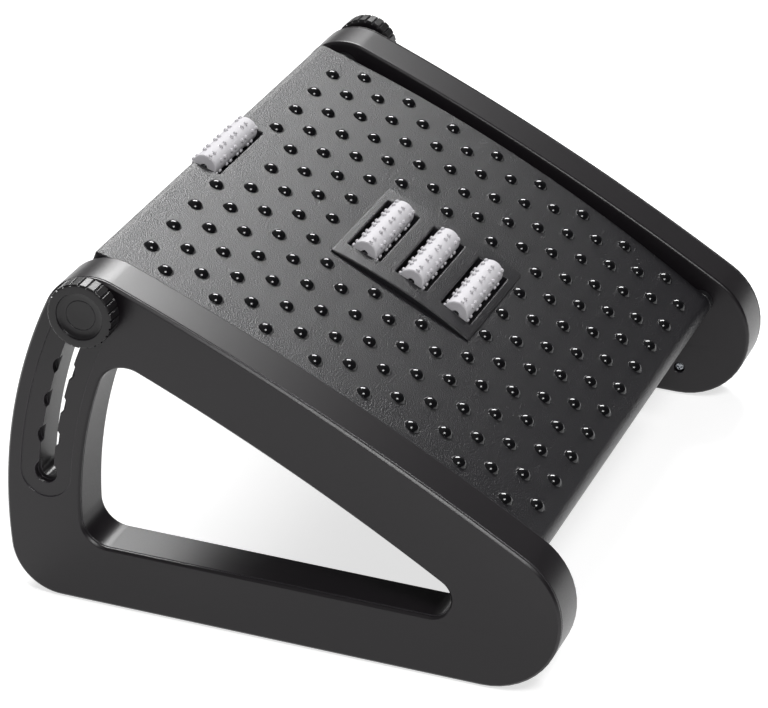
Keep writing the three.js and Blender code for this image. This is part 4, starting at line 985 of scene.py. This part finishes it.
def bare_metal(name, colours, roughness, line, depth, stretch=1):
    """Bare metal with a fine pattern that may be drawn out along X."""
    m = new_material(name)
    here = add(m, "TexCoord", {})["Object"]
    along = add(m, "Mapping", {"Vector": here, "Scale": (1 / stretch, 1, 1)})["Vector"]
    streaks = add(m, "TexNoise", {"Vector": along, "Scale": 1 / line, "Detail": STREAK_DETAIL})["Fac"]
    patches = {"Vector": here, "Scale": 1 / (line * stretch), "Detail": TONE_DETAIL}
    tone = add(m, "TexNoise", patches)["Fac"]
    light, dark = [linear(colour) for colour in colours]
    colour = add(m, "MixRGB", {"Fac": tone, "Color1": light, "Color2": dark})["Color"]
    smooth, rough = roughness
    gloss = add(m, "MapRange", {"Value": streaks, "To Min": smooth, "To Max": rough})["Result"]
    rounded = add(m, "Bevel", {"Radius": BAR_EDGE}, samples=BEVEL_SAMPLES)["Normal"]
    relief = add(m, "Bump", {"Height": streaks, "Distance": depth, "Normal": rounded})["Normal"]
    surface = {"Base Color": colour, "Metallic": 1, "Roughness": gloss, "Normal": relief}
    shader = add(m, "BsdfPrincipled", surface)
    add(m, "OutputMaterial", {"Surface": shader["BSDF"]})
    return m


# Cold-drawn steel bar: bright, with fine drawing lines along its length.
drawn_steel = bare_metal(
    "drawn_steel",
    colours=("#a5a7a8", "#96989a"),
    roughness=(0.22, 0.38),
    line=0.0004,
    depth=0.000004,
    stretch=60,
)


def bar(centre, half_length, radius, chamfer):
    path = chamfered(-half_length, half_length, radius, chamfer)
    return closed(bmesh.new(), along_x(path, round_at(centre)))


axle = bar((0, 0), AXLE_HALF_LENGTH, AXLE_RADIUS, AXLE_CHAMFER)
axle_mesh = finished("roller_axle", axle, drawn_steel)
for node in [*(f"roller_axle_{i + 1}" for i in range(CONSOLE_ROLLERS)), "toe_roller_axle"]:
    place = Matrix.Translation(middle(node))
    show(f"{node}_bar", axle_mesh, "plate", [node], place)

# Heel rod and bushes
# The plate turns on a drawn steel rod held by a screw in each end. A flanged nylon bush at each side runs
# on the rod and keeps the plate off the frame.
ROD_HALF_LENGTH = 0.2095
ROD_CHAMFER = 0.0005
TAPPED_RADIUS = 0.0025
TAPPED_DEPTH = 0.0123
BUSH_FLANGE_RADIUS = 0.0081
BUSH_INNER = 0.173
BUSH_SHOULDER = 0.1873
BUSH_OUTER = 0.1932
BUSH_EDGE = 0.0004

tapped_holes = bmesh.new()
for side in SIDES.values():
    ends = (side * (ROD_HALF_LENGTH - TAPPED_DEPTH), side * (ROD_HALF_LENGTH + OVERRUN))
    across_bar(tapped_holes, PIVOT, ends, TAPPED_RADIUS)
heel_rod = combined(bar(PIVOT, ROD_HALF_LENGTH, ROD_RADIUS, ROD_CHAMFER), tapped_holes)
piece("heel_rod_bar", heel_rod, "stand", drawn_steel, ["heel_rod"])

# Nylon, dyed black: smooth and faintly waxy.
moulded_nylon = moulded(
    "moulded_nylon", colours=("#1c1c1e", "#202022", "#2c2c2e"), roughness=(0.36, 0.46), ior=1.53
)

bore = ROD_RADIUS + GAP
sleeve = bore + BUSH_WALL
bush_profile = [
    (BUSH_INNER, bore),
    (BUSH_INNER, sleeve - BUSH_EDGE),
    (BUSH_INNER + BUSH_EDGE, sleeve),
    (BUSH_SHOULDER, sleeve),
    *chamfered(BUSH_SHOULDER, BUSH_OUTER, BUSH_FLANGE_RADIUS, BUSH_EDGE),
    (BUSH_OUTER, bore),
]
for hand, side in SIDES.items():
    bush = turned(PIVOT, side, bush_profile)
    piece(f"{hand}_flanged_bush", bush, "plate", moulded_nylon, [f"{hand}_heel_bush"])

# Screws
# Pan-head steel screws with a cross recess close the frames, hold the rod, and fix tray and cradle.
# Their threads are rolled, and they are plated against rust.
HEAD_STEPS = 5
HEAD_WALL_SHARE = 0.3
HEAD_FLAT_SHARE = 0.45
RECESS_SHARE = 0.62
RECESS_WIDTH_SHARE = 0.17
RECESS_TAPER = 0.7
RECESS_END_SHARE = 0.35
THREAD_DEPTH_SHARE = 0.16
THREAD_STEPS = 24
RINGS_PER_PITCH = 4
POINT_SHARE = 0.5
# Shank radius, length, head radius, head height and thread pitch.
FRAME_SCREW = (0.0015, SCREW_LENGTH, 0.0034, 0.0022, 0.0014)
ROD_SCREW = (0.0022, 0.0153, 0.0046, 0.003, 0.0008)
TRAY_SCREW = (0.0013, 0.008, 0.0026, 0.0016, 0.001)
CRADLE_SCREW = (0.0013, 0.01385, 0.0026, 0.0016, 0.001)
FRAME_SCREW_SEAT = FRAME_INNER_X + SCREW_HEAD_DEPTH - GAP
ROD_SCREW_SEAT = FRAME_INNER_X + ROD_SOCKET_DEPTH + ROD_END_WALL + GAP
TRAY_SCREW_SEAT = -0.0126
CRADLE_SCREW_SEAT = -0.01495

# Zinc plated in a barrel: bright, a faintly blue grey, with a fine even grain.
zinc_plate = bare_metal(
    "zinc_plated_steel",
    colours=("#b3b6ba", "#9fa3a9"),
    roughness=(0.26, 0.42),
    line=0.0006,
    depth=0.000006,
)


def thread(start, end, radius, pitch, point):
    """A cylinder along X whose radius winds down and up once in each pitch, as a thread does."""
    rings = []
    steps = ceil((end - start) / (pitch / RINGS_PER_PITCH))
    for i in range(steps + 1):
        x = start + (end - start) * i / steps
        shrink = 1 if end - x > point else POINT_SHARE + (1 - POINT_SHARE) * (end - x) / point
        ring = []
        for j in range(THREAD_STEPS):
            turn = j / THREAD_STEPS
            ridge = abs(((x / pitch - turn) % 1) * 2 - 1)
            r = radius * shrink * (1 - THREAD_DEPTH_SHARE * ridge)
            ring.append((x, r * cos(tau * turn), r * sin(tau * turn)))
        rings.append(ring)
    return closed(bmesh.new(), rings)


def pan_screw(shank_radius, length, head_radius, head_height, pitch):
    """A screw along +X with the seat of its head at zero and its head towards -X."""
    path = [(0, head_radius)]
    for i in range(HEAD_STEPS + 1):
        a = pi / 2 * i / HEAD_STEPS
        rise = HEAD_WALL_SHARE + (1 - HEAD_WALL_SHARE) * sin(a)
        reach = HEAD_FLAT_SHARE + (1 - HEAD_FLAT_SHARE) * cos(a)
        path.append((-head_height * rise, head_radius * reach))
    head = closed(bmesh.new(), along_x(path, round_at((0, 0))))
    top, bottom = -head_height, -head_height * RECESS_END_SHARE
    reach, half = head_radius * RECESS_SHARE, head_radius * RECESS_WIDTH_SHARE
    for one, other in ((reach, half), (half, reach)):
        outline = [(-one, -other), (one, -other), (one, other), (-one, other)]
        narrow = [(y * RECESS_TAPER, z * RECESS_TAPER) for y, z in outline]
        rings = [(top - OVERRUN, outline), (top, outline), (bottom, narrow)]
        slot = closed(bmesh.new(), [[(x, y, z) for y, z in ring] for x, ring in rings])
        head = combined(head, slot)
    shank = thread(-head_height / 2, length, shank_radius, pitch, 2 * shank_radius)
    return combined(shank, head, "UNION")


def driven(seat, direction):
    """The place of a screw whose head seats at a point and which is driven in a direction."""
    turn = Vector((1, 0, 0)).rotation_difference(Vector(direction)).to_matrix().to_4x4()
    return Matrix.Translation(seat) @ turn


def driven_up(x, from_toe, height):
    """The place of a screw that is driven up towards the plate from a height over the arch."""
    seat = Vector((x, *on_plate(from_toe, height)))
    return driven(seat, Vector((x, *on_plate(from_toe, 0))) - seat)


screws = []
for hand, side in SIDES.items():
    for i, (y, z) in enumerate(screw_places(hand)):
        place = driven((side * FRAME_SCREW_SEAT, y, z), (side, 0, 0))
        screws.append((f"{hand}_frame_screw_{i + 1}", "stand", FRAME_SCREW, place))
    place = driven((side * ROD_SCREW_SEAT, *PIVOT), (-side, 0, 0))
    screws.append((f"{hand}_rod_screw", "stand", ROD_SCREW, place))
tray_spots = [(side, between) for side in SIDES.values() for between in BETWEEN_ROLLERS]
for i, (side, between) in enumerate(tray_spots):
    from_toe = CONSOLE_MIDDLE + between * ROLLER_PITCH
    place = driven_up(side * TRAY_SCREW_X, from_toe, TRAY_SCREW_SEAT)
    screws.append((f"tray_screw_{i + 1}", "plate", TRAY_SCREW, place))
for i, side in enumerate(SIDES.values()):
    place = driven_up(side * CRADLE_SCREW_X, CRADLE_SCREW_FROM_TOE, CRADLE_SCREW_SEAT)
    screws.append((f"cradle_screw_{i + 1}", "plate", CRADLE_SCREW, place))

screw_meshes = {}
for node, body, sizes, place in screws:
    if sizes not in screw_meshes:
        screw_meshes[sizes] = finished("pan_head_screw", pan_screw(*sizes), zinc_plate)
    show(f"{node}_pan_head", screw_meshes[sizes], body, [node], place)

# Clamps
# In each clamp a hexagon-head bolt, held in the knob, runs through frame and collar into a nut in the
# plate. The nylon collar drops into the scallops, and a nylon pad fills the gap between plate and frame.
THREAD_PITCH = 0.00125
BOLT_TIP = 0.1662
BOLT_POINT = 0.001
BOLT_HEAD_SEAT = 0.2358
BOLT_HEAD_HEIGHT = 0.0036
HEXAGON_CHAMFER = 0.0005
NUT_ENDS = (0.1742, 0.1807)
BOLT_BORE = BOLT_RADIUS + GAP
PAD_RADIUS = 0.01
PAD_ENDS = (0.1873, 0.1932)
PAD_EDGE = 0.0004
COLLAR_RADIUS = 0.012
COLLAR_NOSE_RADIUS = 0.0064
COLLAR_NOSE = 0.227
COLLAR_SHOULDER = 0.229
COLLAR_END = 0.2308


def hexagon_block(ends, centre=(0, 0)):
    """A hexagonal prism along X with its corners taken off at both ends."""
    path = chamfered(*ends, corner_radius(NUT_ACROSS_FLATS), HEXAGON_CHAMFER)
    return closed(bmesh.new(), along_x(path, round_at(centre, HEXAGON)))


pad_profile = [
    (PAD_ENDS[0], BOLT_BORE),
    *chamfered(*PAD_ENDS, PAD_RADIUS, PAD_EDGE),
    (PAD_ENDS[1], BOLT_BORE),
]
collar_profile = [
    (COLLAR_NOSE, BOLT_BORE),
    (COLLAR_NOSE, COLLAR_NOSE_RADIUS - PAD_EDGE),
    (COLLAR_NOSE + PAD_EDGE, COLLAR_NOSE_RADIUS),
    (COLLAR_SHOULDER, COLLAR_NOSE_RADIUS),
    (COLLAR_SHOULDER, COLLAR_RADIUS - PAD_EDGE),
    (COLLAR_SHOULDER + PAD_EDGE, COLLAR_RADIUS),
    (COLLAR_END, COLLAR_RADIUS),
    (COLLAR_END, BOLT_BORE),
]
for hand, side in SIDES.items():
    shank_length = BOLT_HEAD_SEAT - BOLT_TIP
    shank = thread(-HEXAGON_CHAMFER, shank_length, BOLT_RADIUS, THREAD_PITCH, BOLT_POINT)
    bolt = combined(shank, hexagon_block((-BOLT_HEAD_HEIGHT, 0)), "UNION")
    place = driven((side * BOLT_HEAD_SEAT, *CLAMP_AXIS), (-side, 0, 0))
    node = f"{hand}_clamp_bolt"
    piece(f"{hand}_hex_bolt", bolt, f"{hand}_knob_set", zinc_plate, [node], place)

    nut = hexagon_block(sorted(side * x for x in NUT_ENDS), CLAMP_AXIS)
    bore = (side * (NUT_ENDS[0] - GAP), side * (NUT_ENDS[1] + GAP))
    nut = combined(nut, across_bar(bmesh.new(), CLAMP_AXIS, bore, BOLT_BORE))
    piece(f"{hand}_hex_nut", nut, "plate", zinc_plate, [f"{hand}_clamp_nut"])

    pad = turned(CLAMP_AXIS, side, pad_profile)
    piece(f"{hand}_spacer", pad, "plate", moulded_nylon, [f"{hand}_friction_pad"])

    collar = turned(CLAMP_AXIS, side, collar_profile)
    node = f"{hand}_notch_collar"
    piece(f"{hand}_drop_in_collar", collar, f"{hand}_collar", moulded_nylon, [node])

# Clamp knobs
# The knobs are moulded in satin polypropylene with wide flats between narrow grooves, a smooth rounded
# rim and a dished front. A small round cap in the dish closes the pocket of the bolt's head.
KNOB_BACK = 0.2311
KNOB_PITCHES = 24
GROOVE_DEPTH = 0.0013
GROOVE_SHARE = 0.26
# Shares of a pitch round the rim, and of the groove's depth.
GROOVE_SHAPE = ((0, 0), (0.05, 0.72), (0.13, 1), (0.21, 0.72))
POCKET_ACROSS_FLATS = 0.0136
CAP_BACK = 0.2404
CAP_RADIUS = 0.009
CAP_EDGE = 0.0002
# Places along X and radii.
CAP_PROFILE = (
    (0, CAP_RADIUS),
    (0.0005, CAP_RADIUS),
    (0.0007, CAP_RADIUS - CAP_EDGE),
    (0.00062, 0.0065),
    (0.00048, 0.0045),
    (0.0004, 0.003),
)
# Places along X, radii, and shares of the grooves' full depth. A ring with no radius is the bolt's pocket.
KNOB_PROFILE = (
    (0, BOLT_BORE, 0),
    (0, 0.018, 0),
    (0.0006, 0.0192, 0.6),
    (0.0009, 0.0198, 1),
    (0.0115, 0.0198, 1),
    (0.012, 0.0196, 0.75),
    (0.0124, 0.0191, 0.3),
    (0.0126, 0.0184, 0),
    (0.0126, 0.0149, 0),
    (0.01245, 0.0145, 0),
    (0.0121, 0.0143, 0),
    (0.0114, 0.0141, 0),
    (0.0106, 0.0127, 0),
    (0.0101, 0.0111, 0),
    (0.0099, 0.0091, 0),
    (0.0088, 0.0091, 0),
    (0.0088, None, 0),
    (0.0044, None, 0),
    (0.0044, BOLT_BORE, 0),
)


def knob():
    """A closed skin of rings along X, from the bore round the outside and back."""
    flat_middle = (1 + GROOVE_SHARE) / 2
    half_flat = tau * (1 - GROOVE_SHARE) / 2 / KNOB_PITCHES
    rings = []
    for x, radius, grooved in KNOB_PROFILE:
        ring = []
        for i in range(KNOB_PITCHES):
            for share, depth in (*GROOVE_SHAPE, (GROOVE_SHARE, 0), (flat_middle, None)):
                turn = tau * (i + share) / KNOB_PITCHES
                if radius is None:
                    r = POCKET_ACROSS_FLATS / 2 / cos(turn % (tau / HEXAGON) - pi / HEXAGON)
                elif depth is None:
                    r = radius * (1 - grooved * (1 - cos(half_flat)))
                else:
                    r = radius - GROOVE_DEPTH * grooved * depth
                ring.append((x, r * cos(turn), r * sin(turn)))
        rings.append(ring)
    bm = bmesh.new()
    loft(bm, rings + rings[:1])
    return bm


# Satin polypropylene of the knobs, a little darker than the frames.
satin_knob = moulded(
    "satin_polypropylene_knob", colours=("#100e10", "#131113", "#3c3b3e"), roughness=(0.3, 0.4)
)

for hand, side in SIDES.items():
    body, node = f"{hand}_knob_set", f"{hand}_knob"
    place = driven((side * KNOB_BACK, *CLAMP_AXIS), (side, 0, 0))
    piece(f"{hand}_grooved_knob", knob(), body, satin_knob, [node], place)
    path = [(side * (CAP_BACK + x), radius) for x, radius in CAP_PROFILE]
    disc = closed(bmesh.new(), along_x(path, round_at(CLAMP_AXIS)))
    piece(f"{hand}_pressed_cap", disc, body, satin_knob, [f"{hand}_knob_cap"])

# Studio
# The footrest stands on a pale floor that brightens to white far out, under a soft box on its far side
# and a smaller fill on the camera's side. The grey room round it is darker beyond the heel end.
FLOOR_RADIUS = 7
FLOOR_COLOUR = "#c8c8c8"
FLOOR_WHITE = 0.7
FLOOR_NEAR = 1.2
FLOOR_FAR = 3
ROOM_GREY = 0.25
ROOM_DARK = 0.05
ROOM_GREY_Y = 0.3
ROOM_DARK_Y = -0.6
WHITE = (1, 1, 1, 1)
WHITE_STRENGTH = 1
SOFT_BOX_SIZE = (1.5, 0.84)
SOFT_BOX_DISTANCE = 3
SOFT_BOX_DEG = (18, 43)
SOFT_BOX_WATTS = 101
FILL_SIZE = (0.9, 0.66)
FILL_DISTANCE = 2.6
FILL_DEG = (217, 49)
FILL_WATTS = 37
CAMERA_PLACE = (-2.031789, -0.6581, 1.098893)
CAMERA_TURN_DEG = (64.631176, -2.495673, -70.432502)
LENS_MM = 177.4727
SENSOR_MM = 36

paper = new_material("pale_studio_floor")
ray = add(paper, "LightPath", {})
seen = ray["Is Camera Ray"]
for kind in ("Is Glossy Ray", "Is Transmission Ray"):
    seen = add(paper, "Math", {0: seen, 1: ray[kind]}, operation="MAXIMUM")[0]
spot = add(paper, "NewGeometry", {})["Position"]
distance = add(paper, "VectorMath", {0: spot}, operation="LENGTH")["Value"]
fade = {"From Min": FLOOR_NEAR, "From Max": FLOOR_FAR, "To Min": FLOOR_WHITE, "To Max": WHITE_STRENGTH}
whiteness = add(paper, "MapRange", {"Value": distance, **fade})["Result"]
glow = add(paper, "Math", {0: seen, 1: whiteness}, operation="MULTIPLY")[0]
paint = add(paper, "BsdfDiffuse", {"Color": linear(FLOOR_COLOUR)})[0]
light = add(paper, "Emission", {"Strength": glow})[0]
both = add(paper, "AddShader", {0: paint, 1: light})[0]
add(paper, "OutputMaterial", {"Surface": both})

ground = bmesh.new()
ground.faces.new([ground.verts.new((x, y, 0)) for x, y in circle((0, 0), FLOOR_RADIUS)])
floor_mesh = bpy.data.meshes.new("floor")
ground.to_mesh(floor_mesh)
ground.free()
floor_mesh.materials.append(paper)
floor = new_object("floor", floor_mesh)

room = bpy.data.worlds.new("room")
room.use_nodes = True
room.node_tree.nodes.clear()
bpy.context.scene.world = room
way = add(room, "TexCoord", {})["Generated"]
y = add(room, "SeparateXYZ", {"Vector": way})["Y"]
shade = {"From Min": ROOM_DARK_Y, "From Max": ROOM_GREY_Y, "To Min": ROOM_DARK, "To Max": ROOM_GREY}
grey = add(room, "MapRange", {"Value": y, **shade}, interpolation_type="SMOOTHSTEP")["Result"]
seen = add(room, "LightPath", {})["Is Camera Ray"]
strength = add(room, "MapRange", {"Value": seen, "To Min": grey, "To Max": WHITE_STRENGTH})["Result"]
background = add(room, "Background", {"Color": WHITE, "Strength": strength})
add(room, "OutputWorld", {"Surface": background["Background"]})

aim = (Vector(cad_box[0]) + Vector(cad_box[1])) / 2
lamps = [
    ("soft_box", SOFT_BOX_SIZE, SOFT_BOX_DISTANCE, SOFT_BOX_DEG, SOFT_BOX_WATTS),
    ("fill", FILL_SIZE, FILL_DISTANCE, FILL_DEG, FILL_WATTS),
]
for name, size, distance, degrees, watts in lamps:
    round_z, up = [radians(angle) for angle in degrees]
    way = Vector((cos(round_z) * cos(up), sin(round_z) * cos(up), sin(up)))
    lamp = new_object(name, bpy.data.lights.new(name, "AREA"))
    lamp.data.shape = "RECTANGLE"
    lamp.data.size, lamp.data.size_y = size
    lamp.data.energy = watts
    lamp.location = aim + way * distance
    lamp.rotation_euler = way.to_track_quat("Z", "Y").to_euler()
    lamp.visible_camera = False

camera = new_object("camera", bpy.data.cameras.new("camera"))
camera.location = CAMERA_PLACE
camera.rotation_euler = [radians(angle) for angle in CAMERA_TURN_DEG]
camera.data.lens = LENS_MM
camera.data.sensor_width = SENSOR_MM
bpy.context.scene.camera = camera
bpy.context.scene.view_settings.view_transform = "Standard"
